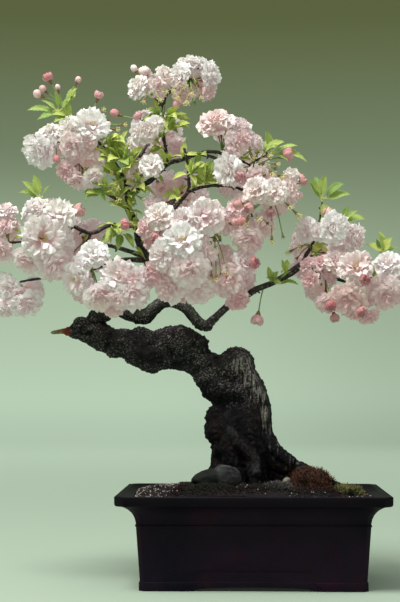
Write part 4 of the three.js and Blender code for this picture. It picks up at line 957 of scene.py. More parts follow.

# Blossoms -------------------------------------------------------------------------------------
# Double cherry flowers hang from the twigs in bunches. Each is a rosette of some eighty thin,
# frilled petals packed on a calyx. It opens pink and pales to white; flowers low in the crown and
# in its shade are given more blush, which is painted shade.

# Each bunch has the hub that it springs from on its twig, its blossoms and its buds. A blossom
# or a bud is (x, y, z, width, blush), with blush from 0, white, to 1, deep rose: partly the
# flower's own pink and partly painted shade, higher for flowers low down and in shade.
BUNCHES = {
    "upper_left_front": ((-225, 0, 599), [
        (-218, -26, 611, 45, 0.1), (-247, -16, 606, 36, 0.1), (-242, -28, 584, 36, 0.4),
        (-222, -22, 564, 24, 0.6),
    ], [(-208, -8, 653, 13, 0.75)]),
    "upper_left_tip": ((-266, 2, 588), [
        (-275, -8, 600, 30, 0.1), (-287, -14, 578, 48, 0.1), (-268, 26, 584, 38, 0.3),
    ], [(-265, -26, 566, 11, 0.9)]),
    "upper_left_low": ((-232, -2, 560), [
        (-250, -16, 549, 30, 0.6), (-215, -18, 541, 32, 0.15), (-236, 22, 550, 36, 0.4),
    ], [(-199, -14, 524, 10, 0.8)]),
    "upper_left_buds": ((-257, 3, 637), [], [
        (-277, 0, 678, 14, 0.9), (-236, 5, 674, 9, 0.5), (-264, 3, 664, 8, 0.4), (-291, 2, 655, 12, 0.5),
        (-284, 0, 662, 10, 0.6),
    ]),
    "upper_left_back": ((-214, 46, 590), [
        (-222, 52, 608, 42, 0.3), (-250, 54, 590, 40, 0.3), (-206, 66, 574, 40, 0.35),
        (-234, 76, 562, 38, 0.4),
    ], [(-196, 62, 612, 12, 0.7)]),
    "top_left": ((-139, 3, 655), [
        (-153, -7, 663, 33, 0.15), (-127, -14, 661, 26, 0.5), (-118, -6, 681, 26, 0.1),
        (-142, 24, 668, 32, 0.3),
    ], [(-160, 0, 689, 10, 0.2), (-146, 6, 684, 17, 0.3)]),
    "top_right": ((-84, 3, 671), [
        (-98, -12, 678, 34, 0.1), (-84, 4, 691, 36, 0), (-58, -6, 680, 36, 0.05), (-60, 0, 658, 27, 0.5),
        (-78, 28, 670, 38, 0.3), (-94, -14, 653, 28, 0.55),
    ], [(-102, -12, 640, 12, 0.75)]),
    "upper_middle": ((-123, -9.5, 603), [
        (-152, -30, 601, 28, 0.3), (-132, -32, 612, 24, 0.2), (-147, 6, 610, 34, 0.3),
    ], [(-186, -10, 628, 12, 0.85), (-155, -16, 624, 13, 0.7)]),
    "inner_upper": ((-134, -16, 544), [
        (-136, -36, 556, 31, 0.1), (-160, 26, 541, 30, 0.4), (-182, 20, 520, 30, 0.5),
    ], [(-124, -28, 528, 15, 0.8)]),
    "crown_right_top": ((-41, -30, 577), [
        (-49, -54, 611, 46, 0.5), (-15, -46, 606, 30, 0.4), (-22, -62, 584, 32, 0.45),
        (3, -38, 584, 30, 0.35), (-30, 0, 598, 38, 0.4),
    ], []),
    "crown_right_middle": ((2, -31, 553), [
        (-31, -64, 550, 42, 0.2), (8, -60, 540, 30, 0.5), (4, -6, 546, 36, 0.5),
    ], [(48, -30, 571, 18, 0.95), (-17, -76, 540, 17, 0.75)]),
    "crown_right_shelf": ((26, -59.5, 512), [
        (6, -84, 521, 36, 0.35), (28, -80, 520, 36, 0.4), (47, -64, 516, 34, 0.45),
        (54, -48, 538, 28, 0.15), (32, -34, 506, 36, 0.5),
    ], [
        (68, -54, 536, 13, 0.95), (-4, -90, 497, 15, 0.95), (24, -82, 492, 13, 0.9),
        (-20, -92, 503, 12, 1), (-14, -94, 480, 12, 1), (62, -50, 515, 12, 0.6),
    ]),
    "crown_right_low": ((1, -46, 482), [
        (14, -68, 475, 34, 0.5), (-6, -72, 457, 38, 0.5), (-16, -64, 497, 38, 0.55),
        (-10, -22, 466, 36, 0.5),
    ], []),
    "centre_top": ((-68, -54, 475), [
        (-62, -88, 487, 46, 0.4), (-92, -78, 480, 36, 0.35), (-42, -66, 480, 36, 0.4),
        (-66, -28, 494, 36, 0.4),
    ], [(-22, -76, 478, 13, 0.7)]),
    "centre_left": ((-118, -27, 470), [
        (-124, -54, 487, 38, 0.25), (-143, -46, 472, 28, 0.6), (-128, -12, 452, 36, 0.5),
    ], [(-130, -78, 456, 17, 1), (-172, -40, 476, 15, 0.9)]),
    "centre_front": ((-93, -64, 437), [
        (-94, -106, 454, 46, 0.05), (-116, -94, 436, 44, 0.35), (-84, -102, 414, 46, 0.4),
        (-124, -72, 410, 42, 0.7), (-66, -84, 438, 42, 0.4),
    ], []),
    "centre_low": ((-89, -46, 400), [
        (-110, -72, 392, 40, 0.4), (-72, -82, 392, 42, 0.45), (-92, -50, 384, 34, 0.5),
    ], []),
    "centre_right": ((-35, -40, 409), [
        (-33, -74, 401, 44, 0.5), (-10, -62, 424, 36, 0.35), (-20, -66, 375, 30, 0.7),
        (-42, -54, 430, 40, 0.4), (-14, -20, 402, 38, 0.5),
    ], [(3, -82, 424, 15, 1)]),
    "left_top": ((-266, -41, 472), [
        (-295, -54, 496, 36, 0.15), (-262, -66, 489, 42, 0.2), (-274, -18, 492, 38, 0.3),
    ], [(-234, -52, 496, 18, 1)]),
    "left_front": ((-290, -39, 456), [
        (-282, -80, 458, 54, 0.3), (-268, -68, 422, 42, 0.4), (-300, -58, 430, 42, 0.35),
        (-258, -52, 446, 40, 0.3), (-288, -2, 442, 42, 0.4),
    ], []),
    "left_end": ((-329, -27, 452), [
        (-334, -34, 492, 32, 0.35), (-338, -40, 442, 34, 0.45), (-332, 0, 466, 38, 0.4),
    ], []),
    "left_low": ((-318, -13, 398), [
        (-328, -26, 392, 36, 0.2), (-305, -30, 371, 42, 0.25), (-334, -4, 366, 34, 0.3),
        (-300, 12, 386, 38, 0.3),
    ], []),
    "lower_left": ((-215, -36, 415), [
        (-214, -66, 436, 38, 0.1), (-236, -62, 404, 42, 0.25), (-205, -72, 380, 42, 0.35),
        (-226, -22, 386, 38, 0.4),
    ], []),
    "lower_middle": ((-174, -37, 398), [
        (-180, -74, 407, 43, 0.35), (-162, -76, 383, 42, 0.35), (-188, -60, 363, 26, 0.5),
        (-150, -56, 400, 34, 0.3), (-168, -10, 384, 38, 0.5),
    ], []),
    "right_top": ((90, -24, 466), [
        (74, -40, 468, 33, 0.3), (110, -54, 470, 40, 0.15), (137, -40, 458, 34, 0.35),
        (116, -2, 456, 38, 0.4),
    ], [(104, -24, 490, 18, 0.6)]),
    "right_inner": ((97, -36, 403), [
        (112, -58, 424, 34, 0.4), (74, -50, 421, 22, 0.6), (102, -58, 372, 32, 0.55),
        (88, -10, 390, 36, 0.5),
    ], [(110, -52, 350, 13, 0.8), (105, -82, 366, 15, 1)]),
    "right_front": ((137, -44, 397), [
        (138, -78, 417, 43, 0.42), (130, -76, 376, 44, 0.6), (155, -56, 353, 28, 0.55),
        (144, -12, 394, 40, 0.5),
    ], [(151, -98, 400, 15, 1), (146, -92, 358, 15, 1)]),
    "right_end": ((178, -24, 402), [
        (182, -46, 420, 38, 0.2), (178, -52, 384, 46, 0.5), (200, -14, 406, 34, 0.45),
        (168, 4, 386, 38, 0.5),
    ], []),
    "hanging_bud": ((14, -37, 388), [], [(6, -40, 347, 17.5, 0.7)]),
    "back_top": ((-130, 79, 598), [
        (-144, 92, 612, 42, 0.3), (-112, 86, 606, 42, 0.3), (-128, 108, 588, 42, 0.35),
        (-152, 78, 580, 38, 0.35), (-106, 66, 580, 36, 0.4),
    ], []),
    "back_crown": ((-101, 107, 514), [
        (-120, 118, 530, 44, 0.35), (-84, 116, 528, 44, 0.35), (-100, 134, 502, 46, 0.35),
        (-128, 104, 498, 42, 0.35), (-74, 96, 504, 42, 0.35),
    ], []),
    "back_low": ((-81, 97, 444), [
        (-98, 112, 452, 42, 0.45), (-62, 100, 452, 42, 0.45), (-84, 122, 428, 44, 0.45),
        (-64, 82, 416, 40, 0.45), (-108, 88, 420, 40, 0.45),
    ], []),
    "back_left": ((-225, 84, 452), [
        (-246, 84, 466, 42, 0.35), (-212, 98, 466, 42, 0.35), (-232, 108, 442, 44, 0.35),
        (-252, 74, 432, 40, 0.35), (-212, 80, 428, 38, 0.35),
    ], []),
    "back_right": ((83, 51, 436), [
        (70, 62, 450, 42, 0.4), (104, 58, 448, 42, 0.4), (90, 76, 426, 44, 0.4), (114, 42, 424, 38, 0.4),
        (70, 44, 416, 38, 0.4),
    ], []),
    "back_shelf": ((-12, 63, 547), [
        (-28, 76, 560, 42, 0.4), (6, 68, 558, 42, 0.4), (-10, 88, 538, 44, 0.4), (16, 52, 530, 38, 0.4),
        (-34, 60, 530, 38, 0.4),
    ], []),
}
# The blossoms that are open enough to show their stamens, each by its number in its bunch.
SHOW_STAMENS = {
    ("upper_left_front", 0), ("centre_front", 0), ("left_front", 0), ("lower_left", 1),
    ("right_front", 0),
}
FLOWER_DEPTH = 0.74  # of its width, as the next two are
CALYX_DROP = 0.3
PETAL_SKIN = 0.008
FLOWER_SWELL = 1.12
CALYX_RADIUS = 2.3  # under an open flower
HALF_OPEN_WIDTH = 12.5  # a bud at least this wide has begun to open
BUD_BLUSH = 0.22  # how much rosier a closed flower is than an open one
BUD_LENGTH = 1.1  # of its width, as the next one is
HALF_OPEN_LENGTH = 0.88


def closed_sheet(bm, skin):
    """Makes a shaped, single layer of faces into a thin closed body that is thickest inside."""
    for edge in bm.edges:
        if edge.is_boundary:
            edge.smooth = False
    copied = bmesh.ops.duplicate(bm, geom=bm.verts[:] + bm.edges[:] + bm.faces[:])["geom"]
    bmesh.ops.reverse_faces(bm, faces=only(bmesh.types.BMFace, copied))
    bm.normal_update()
    for vert in bm.verts:
        if not vert.is_boundary:
            vert.co += vert.normal * skin / 2
    bmesh.ops.remove_doubles(bm, verts=bm.verts, dist=skin / 20)


def direction(spine, row):
    """Which way a line of points runs at one of them."""
    return (spine[min(row + 1, len(spine) - 1)] - spine[max(row - 1, 0)]).normalized()


def petal(dice, spine, half_width, columns, inner, cup, frill):
    """One petal of a flower of unit width that stands up along its spine, as a bmesh."""
    rows = len(spine) - 1
    bm = bmesh.new()
    along_layer = bm.verts.layers.float.new("along")
    inner_layer = bm.verts.layers.float.new("inner")
    bmesh.ops.create_grid(bm, x_segments=rows, y_segments=columns, size=1)
    side = Vector((0, 1, 0))
    phase = dice.uniform(0, math.tau)
    waves = dice.uniform(2.5, 5)
    for vert in bm.verts:
        share = (vert.co.x + 1) / 2
        across = vert.co.y
        row = round(share * rows)
        run = direction(spine, row)
        width = half_width * (0.16 + 0.84 * math.sin(min(1, share * 1.25) * math.pi / 2) ** 1.2)
        width *= 1 - 0.75 * max(0, share - 0.62)
        lift = cup * across * across * width
        lift += frill * half_width * share * share * math.sin(phase + waves * across)
        point = spine[row] + side * across * width + run.cross(side) * lift
        if row == rows:
            point += run * half_width * (dice.uniform(-0.22, 0.22) - 0.2 * across ** 4)
        vert.co = point
        vert[along_layer] = share
        vert[inner_layer] = inner
    closed_sheet(bm, PETAL_SKIN)
    return bm


def open_spine(dice, polar, rows):
    """The line of an open petal, from the calyx out to the rosette's dome."""
    polar = math.radians(polar + dice.gauss(0, 7))
    outward = Vector((math.sin(polar), 0, math.cos(polar)))
    over = Vector((math.cos(polar), 0, -math.sin(polar)))
    tip = Vector((outward.x / 2, 0, outward.z * FLOWER_DEPTH / 2)) * dice.uniform(0.84, 1.08)
    root = Vector((0.03, 0, -CALYX_DROP))
    span = (tip - root).length
    leaving = Vector((0.55 * outward.x, 0, 0.45)) * span * 0.7
    arriving = outward.lerp(over, dice.uniform(0.35, 0.7)).normalized() * span * 0.38
    return interpolate_bezier(root, root + leaving, tip - arriving, tip, rows + 1)


def bud_spine(dice, belly, mouth, length, rows):
    """The line of a petal that is still wrapped round its bud, belly wide, up to its mouth."""
    start = -0.45 * math.pi
    end = math.acos(mouth * dice.uniform(0.6, 1))
    turns = [start + (end - start) * row / rows for row in range(rows + 1)]
    return [Vector((belly * math.cos(turn), 0, length / 2 * math.sin(turn))) for turn in turns]


# Whorls of petals from the outside in: angle from the flower's axis, count, half width, and
# the rows and columns of faces.
FULL_BLOOM = [
    (108, 11, 0.13, 4, 2), (96, 12, 0.13, 4, 2), (84, 12, 0.125, 4, 2), (72, 12, 0.12, 4, 2),
    (60, 11, 0.12, 4, 2), (48, 9, 0.11, 4, 2), (36, 8, 0.1, 4, 2), (23, 5, 0.09, 4, 2),
    (9, 3, 0.08, 3, 2),
]
OPEN_BLOOM = [
    (106, 11, 0.14, 4, 3), (94, 12, 0.14, 4, 3), (81, 12, 0.135, 4, 3), (68, 11, 0.125, 4, 3),
    (55, 9, 0.12, 4, 3), (42, 7, 0.1, 4, 3),
]
SMALL_BLOOM = [
    (102, 8, 0.17, 3, 2), (84, 9, 0.17, 3, 2), (66, 9, 0.16, 3, 2), (48, 8, 0.14, 3, 2),
    (30, 6, 0.12, 3, 2), (12, 3, 0.11, 3, 2),
]
# The same for a bud and for one that is half open, with how far the petals belly out in place
# of their angle.
BUD = [(0.5, 5, 0.34, 5, 3), (0.46, 5, 0.28, 4, 2), (0.36, 3, 0.22, 4, 2)]
HALF_OPEN = [
    (0.52, 8, 0.22, 4, 2), (0.48, 8, 0.2, 4, 2), (0.4, 7, 0.18, 4, 2), (0.3, 6, 0.15, 4, 2),
    (0.16, 4, 0.11, 4, 2),
]


def flower(seed, whorls, mouth=None, length=None):
    """A flower, or a bud with a mouth, of unit width round the origin that faces up, as a mesh."""
    dice = random.Random(seed)
    bm = bmesh.new()
    for number, (spread, count, half_width, rows, columns) in enumerate(whorls):
        start = dice.uniform(0, math.tau)
        inner = number / (len(whorls) - 1)
        for turn in range(count):
            angle = start + math.tau * (turn + dice.uniform(-0.2, 0.2)) / count
            if mouth:
                belly = spread * dice.uniform(1 - 0.26 * mouth, 1 + 0.16 * mouth)
                spine = bud_spine(dice, belly, mouth, length, rows)
                cup = 0.45
                frill = 0.9 * mouth - 0.19
            else:
                spine = open_spine(dice, spread, rows)
                cup = dice.uniform(-0.15, 0.4)
                frill = dice.uniform(0.3, 0.7)
            one = mesh_from(petal(dice, spine, half_width, columns, inner, cup, frill), "petal")
            twist = Matrix.Rotation(dice.gauss(0, 0.1), 4, "X")
            add_copy(bm, one, Matrix.Rotation(angle, 4, "Z") @ twist)
            bpy.data.meshes.remove(one)
    return mesh_from(bm, "flower")


full_blooms = [flower(seed, FULL_BLOOM) for seed in range(5)]
open_bloom = flower(21, OPEN_BLOOM)
small_blooms = [flower(seed, SMALL_BLOOM) for seed in (41, 42, 43)]
bud_shapes = [flower(seed, BUD, 0.3, BUD_LENGTH) for seed in (31, 32, 33)]
half_open_shapes = [flower(seed, HALF_OPEN, 0.95, HALF_OPEN_LENGTH) for seed in (36, 37)]


def facing(middle, axis, size, turn):
    """Brings a unit shape that faces up to its place, size and direction."""
    tilt = axis.to_track_quat("Z", "Y").to_matrix().to_4x4()
    grown = Matrix.Diagonal((size, size, size, 1))
    return Matrix.Translation(middle) @ tilt @ Matrix.Rotation(turn, 4, "Z") @ grown


bloom = Finish("cherry_petals")
along = bloom.attribute("along")
inner = bloom.attribute("inner")
blush = bloom.attribute("blush")
wash = bloom.grain(0.012, detail=3)
vein = bloom.grain(0.0012, detail=2)
cream = bloom.grain(0.045, detail=2)
# Inner petals and the bases of petals are pinker: partly the flower's own colour, partly painted shade
# that warms the hollows deep in the rosette.
pink = blush - 0.06 + 0.5 * (wash - 0.5) + 0.16 * inner - 0.14 * along
colour = bloom.mix(pink.band(0.05, 0.6), tone(239, 240, 239), tone(225, 195, 195))
colour = bloom.mix(pink.band(0.45, 0.95), colour, tone(206, 132, 136))
colour = bloom.mix(pink.band(0.85, 1.1), colour, tone(180, 68, 74))
colour = bloom.mix(cream.band(0.48, 0.66) * 0.3, colour, tone(236, 228, 208))
# Painted shade: the lower part of each petal, down in the rosette, is washed pink.
colour = bloom.mix((1 - along).band(0.3, 0.9) * 0.45, colour, tone(232, 172, 178))
colour = bloom.mix((1 - along).band(0.75, 1) * 0.5, colour, tone(226, 208, 150))
colour = bloom.mix(vein.band(0.5, 0.75) * 0.14, colour, tone(246, 204, 208))
# The petals glow faintly pink: painted light that stands for light passing through them and lifts their
# shade.
bloom.surface(
    base_color=colour, roughness=0.62, subsurface_weight=0.3, subsurface_scale=0.006,
    normal=bloom.bump(vein, 0.0002), emission_color=tone(255, 226, 222), emission_strength=0.07,
)
bloom.shader.inputs["Subsurface Radius"].default_value = (1, 0.72, 0.68)


def look_out(heart, point):
    """Where a flower of a bunch sits, and its axis, which points away from the bunch's hub."""
    middle = place(point)
    return middle, (middle - heart).normalized()


dice = random.Random(5)
stems = {}
for name, (hub, blossoms, buds) in BUNCHES.items():
    heart = place(hub)
    bm = bmesh.new()
    stems[name] = []
    for number, (*point, width, tint) in enumerate(blossoms):
        middle, axis = look_out(heart, point)
        shape = open_bloom if (name, number) in SHOW_STAMENS else dice.choice(full_blooms)
        at = facing(middle, axis, width * FLOWER_SWELL, dice.uniform(0, math.tau))
        add_copy(bm, shape, at, blush=tint)
        stems[name].append((middle - axis * CALYX_DROP * width * FLOWER_SWELL, axis, CALYX_RADIUS))
    for first, second in zip(blossoms, blossoms[1:] + blossoms[:1]):
        # a younger, smaller flower fills the gap between two full ones
        between = Vector(first[:3]).lerp(Vector(second[:3]), dice.uniform(0.4, 0.6))
        middle, axis = look_out(heart, between + scatter(dice, 4))
        middle += axis * 1.5
        width = dice.uniform(25, 33)
        tint = (first[4] + second[4]) / 2 + dice.uniform(0, 0.2)
        shape = dice.choice(small_blooms)
        add_copy(bm, shape, facing(middle, axis, width, dice.uniform(0, math.tau)), blush=tint)
        stems[name].append((middle - axis * CALYX_DROP * width, axis, CALYX_RADIUS))
    for *point, width, tint in buds:
        middle, axis = look_out(heart, point)
        closed = width < HALF_OPEN_WIDTH
        shape = dice.choice(bud_shapes if closed else half_open_shapes)
        at = facing(middle, axis, width, dice.uniform(0, math.tau))
        add_copy(bm, shape, at, blush=tint + BUD_BLUSH)
        length = (BUD_LENGTH if closed else HALF_OPEN_LENGTH) * width
        stems[name].append((middle - axis * length * 0.42, axis, 0.27 * width))
    finish_piece(bm, f"petals_{name}", bloom.material, "petals", f"blossom_{name}")

# Stalks and calyxes ---------------------------------------------------------------------------
# A bunch hangs by thin green stalks, reddish at the end, that spring together from scales on
# the twig. Each ends in a bell-shaped calyx with five pointed sepals under the petals.

CALYX_LENGTH = 6
STALK_RADIUS = 0.75

bm = lathe([(0.3, -1), (0.44, -0.85), (0.6, -0.5), (0.84, 0), (1, 0.15)], 6)
bmesh.ops.holes_fill(bm, edges=bm.edges, sides=0)
for number in range(5):
    at = Matrix.Rotation(math.tau * number / 5, 4, "Z") @ Matrix.Translation((1.05, 0, 0.25))
    at = at @ Matrix.Rotation(0.9, 4, "Y") @ Matrix.Diagonal((0.25, 1, 1, 1))
    sepal = {"segments": 4, "radius1": 0.5, "radius2": 0, "depth": 1.5}
    bmesh.ops.create_cone(bm, cap_ends=True, matrix=at, **sepal)
bmesh.ops.recalc_face_normals(bm, faces=bm.faces)
calyx = mesh_from(bm, "calyx")

green = Finish("stalk_and_calyx")
ripe = green.attribute("ripe")
streak = green.grain(0.003, detail=2)
colour = green.mix(ripe.band(0, 1), tone(122, 146, 78), tone(128, 74, 54))
colour = green.mix(streak.band(0.5, 0.8) * 0.5, colour, tone(160, 170, 104))
green.surface(base_color=colour, roughness=0.55, normal=green.bump(streak, 0.0002))

for name, ends in stems.items():
    heart = place(BUNCHES[name][0])
    stalks = []
    for end, axis, radius in ends:
        start = end - axis * CALYX_LENGTH
        bow = heart.lerp(start, 0.5) + Vector((0, 0, 0.08 * (start - heart).length))
        stalks.append([(heart, 1.1), (bow, STALK_RADIUS), (start, STALK_RADIUS * 1.2)])
    bm = tubes(stalks, 1, 3)
    for end, axis, radius in ends:
        size = Matrix.Diagonal((radius, radius, CALYX_LENGTH, 1))
        add_copy(bm, calyx, facing(end, axis, 1, 0) @ size, ripe=dice.uniform(0.4, 1))
    finish_piece(bm, f"stalks_{name}", green.material, "leaf_and_stalk")

# Spent flowers --------------------------------------------------------------------------------
# Where petals have dropped, the calyx stays on its stalk with a tuft of yellow-green stamens.
# Open blossoms show the same tuft in their middle.

STAMEN_LENGTH = 8.5
# Each group springs from one point on the wood, and has the middle of each spent flower.
SPENT = [
    ((2, -31, 553), [
        (8, -60, 574), (20, -58, 568), (31, -52, 558), (14, -70, 558), (25, -66, 547), (36, -56, 542),
        (2, -72, 566), (16, -74, 543), (30, -64, 552),
    ]),
    ((-84, 3, 671), [
        (-92, -38, 664), (-82, -40, 657), (-75, -38, 669), (-99, -36, 652), (-70, -38, 652),
        (-88, -42, 646), (-78, -34, 643), (-104, -36, 661),
    ]),
    ((-139, 3, 655), [(-136, -38, 654), (-126, -38, 648), (-146, -34, 646), (-118, -34, 658)]),
    ((-53, -45, 463), [
        (-57, -92, 452), (-50, -94, 447), (-44, -92, 455), (-62, -90, 410), (-55, -92, 407),
        (-48, -92, 406), (-42, -90, 411), (-35, -88, 414),
    ]),
    ((26, -59.5, 512), [(26, -78, 457), (41, -74, 460), (58, -70, 492), (48, -82, 502)]),
    ((1, -46, 482), [(8, -92, 484), (-8, -94, 478), (20, -88, 478)]),
    ((-173, -3, 535), [(-186, -22, 545), (-180, -26, 530), (-160, -26, 545), (-164, -22, 556)]),
    ((-168, -6, 515), [(-156, -28, 522), (-150, -26, 512), (-178, -28, 512), (-160, -30, 505)]),
    ((-222, 4, 599), [(-196, -20, 618), (-186, -18, 606), (-204, -22, 630), (-176, -16, 612)]),
    ((79, -26, 446), [(60, -44, 430), (66, -48, 446), (52, -40, 440)]),
]

bm = bmesh.new()
for number in range(9):
    turn = Matrix.Rotation(math.tau * number * 0.382, 4, "Z")
    lean = Matrix.Rotation(0.1 + 0.07 * number, 4, "Y")
    thread = {"segments": 3, "radius1": 0.05, "radius2": 0.03, "depth": 1}
    anther = {"segments": 4, "radius1": 0.1, "radius2": 0.04, "depth": 0.12}
    for middle, size in ((0.5, thread), (1.04, anther)):
        at = turn @ lean @ Matrix.Translation((0, 0, middle))
        bmesh.ops.create_cone(bm, cap_ends=True, matrix=at, **size)
stamens = mesh_from(bm, "stamens")

stamen = Finish("stamens")
dusting = stamen.grain(0.001, detail=1)
stamen.surface(
    base_color=stamen.mix(dusting.band(0.4, 0.6), tone(220, 220, 140), tone(238, 216, 160)),
    roughness=0.7,
)

dice = random.Random(17)
stalks = []
calyxes = bmesh.new()
tufts = bmesh.new()
for base, points in SPENT:
    heart = place(base)
    for point in points:
        end = place(point)
        bow = heart.lerp(end, 0.5) + Vector((0, -3, 0.12 * (end - heart).length))
        axis = (end - bow).normalized()
        stalks.append([(heart, 1.0), (bow, 0.7), (end - axis * CALYX_LENGTH, 0.8)])
        size = Matrix.Diagonal((2.0, 2.0, CALYX_LENGTH, 1))
        at = facing(end, axis, 1, dice.uniform(0, math.tau))
        add_copy(calyxes, calyx, at @ size, ripe=dice.uniform(0.1, 0.9))
        if dice.random() < 0.75:
            size = STAMEN_LENGTH * dice.uniform(0.7, 1.1)
            add_copy(tufts, stamens, facing(end, axis, size, dice.uniform(0, math.tau)))
bm = tubes(stalks, 1, 3)
add_part(bm, calyxes)
finish_piece(bm, "spent_calyxes", green.material, "leaf_and_stalk")
for hub, blossoms, buds in BUNCHES.values():
    heart = place(hub)
    for *point, width, tint in blossoms:
        middle, axis = look_out(heart, point)
        base = middle - axis * width * 0.05
        add_copy(tufts, stamens, facing(base, axis, width * 0.2, dice.uniform(0, math.tau)))
finish_piece(tufts, "stamen_tufts", stamen.material, "petals")

# Leaves ---------------------------------------------------------------------------------------
# Young leaves open in sprays on short green shoots. Each is thin and bright green, folded along
# its midrib, with a saw-toothed edge and a long point.

LEAF_ROWS = 14
LEAF_SKIN = 0.35
DULL = (0.5, 1)  # the tint of full-grown leaves, from yellow-green at 0 to deep green at 1
# Each spray has the foot of its shoot and the tips of its leaves, and for a spray deep in the
# crown, its leaves' lowest and highest tint, paler than DULL: painted light that lifts the
# crown's shade on them.
SPRAYS = {
    "leaves_upper_left": ((-262, 0, 630), [
        (-292, -8, 619), (-306, 4, 632), (-286, -4, 646), (-268, -8, 658), (-242, -6, 652),
    ]),
    "leaves_upper_left_inner": ((-205, -3, 583), [
        (-184, -18, 592), (-178, -14, 568), (-196, -26, 560),
    ], 0, 0.5),
    "leaves_leader": ((-175.5, -5.5, 548), [
        (-146, -34, 582), (-186, -30, 584), (-142, -34, 562), (-200, -26, 560), (-212, -34, 580),
        (-164, -44, 590),
    ], 0, 0.35),
    "leaves_top_middle": ((-121.5, -6.5, 618), [
        (-88, -20, 626), (-100, -16, 600), (-140, -22, 630), (-118, -30, 640), (-146, -10, 612),
    ]),
    "leaves_left_pair": ((-286, -30, 512), [
        (-312, -38, 536), (-296, -34, 544), (-272, -40, 530), (-316, -30, 520),
    ]),
    "leaves_left_arc": ((-217, -13, 529), [(-250, -22, 528), (-226, -26, 508), (-198, -24, 508)]),
    "leaves_left_low": ((-176, -10, 468.5), [
        (-206, -22, 446), (-182, -26, 440), (-154, -24, 464), (-160, -22, 444),
    ]),
    "leaves_middle": ((-83, -33, 546), [
        (-58, -40, 540), (-60, -34, 524), (-76, -44, 528), (-108, -40, 536),
    ], 0, 0.3),
    "leaves_crown_right": ((26, -26, 574), [
        (18, -34, 602), (42, -30, 590), (62, -28, 582), (74, -26, 560), (48, -38, 562),
    ]),
    "leaves_right_top": ((94.5, -18.5, 510), [
        (76, -26, 534), (98, -30, 542), (124, -26, 530), (132, -24, 516), (84, -8, 540),
    ]),
    "leaves_right_side": ((120, -24, 478), [(130, -30, 500), (152, -30, 482), (142, -36, 494)]),
    "leaves_right_end": ((172, -24, 438), [
        (166, -34, 456), (188, -30, 458), (196, -22, 444), (160, -16, 446),
    ]),
    "leaves_low_branch": ((32, -36, 396), [
        (18, -44, 404), (28, -48, 412), (52, -46, 412), (62, -40, 394),
    ]),
    "leaves_centre": ((-53, -45, 463), [(-34, -62, 468), (-72, -66, 466), (-42, -66, 452)]),
}


def leaf(dice, root, tip, half_width, tint):
    """One leaf from the end of its stalk to its point, as a bmesh."""
    bm = bmesh.new()
    layers = [bm.verts.layers.float.new(name) for name in ("along", "across", "tint")]
    bmesh.ops.create_grid(bm, x_segments=LEAF_ROWS, y_segments=4, size=1)
    span = (tip - root).length
    out = (tip - root).normalized()
    rise = Vector((0, 0, span * dice.uniform(0.08, 0.22)))
    bends = (root.lerp(tip, 0.35) + rise, root.lerp(tip, 0.7) + rise)
    spine = interpolate_bezier(root, *bends, tip, LEAF_ROWS + 1)
    look = Vector((dice.gauss(0, 0.35), -0.9 + dice.gauss(0, 0.3), 0.8)).normalized()
    side = look.cross(out).normalized()
    fold = dice.uniform(0.15, 0.5)
    wave = dice.uniform(0, math.tau)
    for vert in bm.verts:
        share = (vert.co.x + 1) / 2
        across = vert.co.y
        row = round(share * LEAF_ROWS)
        face = side.cross(direction(spine, row)).normalized()
        if face.dot(look) < 0:
            face = -face
        width = half_width * math.sin(math.pi * share ** 0.8) ** 0.85 * (1 - 0.35 * share)
        if abs(across) > 0.9 and 0 < row < LEAF_ROWS:
            width *= 1.1 if row % 2 else 0.84
        lift = fold * abs(across) * width + 0.12 * width * math.sin(wave + 9 * share) * across
        vert.co = spine[row] + side * across * width + face * lift
        for layer, value in zip(layers, (share, across, tint)):
            vert[layer] = value
    bmesh.ops.remove_doubles(bm, verts=bm.verts, dist=0.02)
    closed_sheet(bm, LEAF_SKIN)
    bmesh.ops.recalc_face_normals(bm, faces=bm.faces)
    return bm


foliage = Finish("young_leaf")
along = foliage.attribute("along")
across = foliage.attribute("across")
tint = foliage.attribute("tint")
patch = foliage.grain(0.008, detail=3)
cell = foliage.grain(0.0009, detail=1)
edge = across.reckon("ABSOLUTE")
rib = (0.12 - edge).band(0, 0.12)
veins = (along * 46 - edge * 18).reckon("SINE").band(0.5, 1)
colour = foliage.mix(tint, tone(194, 202, 106), tone(98, 134, 68))
colour = foliage.mix(patch.band(0.4, 0.7) * 0.4, colour, tone(142, 170, 80))
colour = foliage.mix(rib * 0.5 + veins * 0.35, colour, tone(196, 208, 138))
# The leaves glow faintly green: painted light that stands for light passing through them.
foliage.surface(
    base_color=colour, roughness=0.72, specular_ior_level=0.25, subsurface_weight=0.25,
    subsurface_scale=0.003, emission_color=tone(164, 188, 92), emission_strength=0.05,
    normal=foliage.bump(0.6 * (1 - veins) + 0.4 * cell, 0.0004),
)
foliage.shader.inputs["Subsurface Radius"].default_value = (0.7, 1, 0.3)

dice = random.Random(8)
for name, (shoot, tips, *tints) in SPRAYS.items():
    heart = place(shoot)
    ends = [place(tip) for tip in tips]
    starts = [heart.lerp(end, 0.2) for end in ends]
    bm = tubes([[(heart, 1.0), (start, 0.6)] for start in starts], 1, 2)
    for start, end in zip(starts, ends):
        half_width = (end - start).length * dice.uniform(0.2, 0.3)
        add_part(bm, leaf(dice, start, end, half_width, dice.uniform(*(tints or DULL))))
    finish_piece(bm, name.replace("leaves", "spray"), foliage.material, "leaf_and_stalk", name)

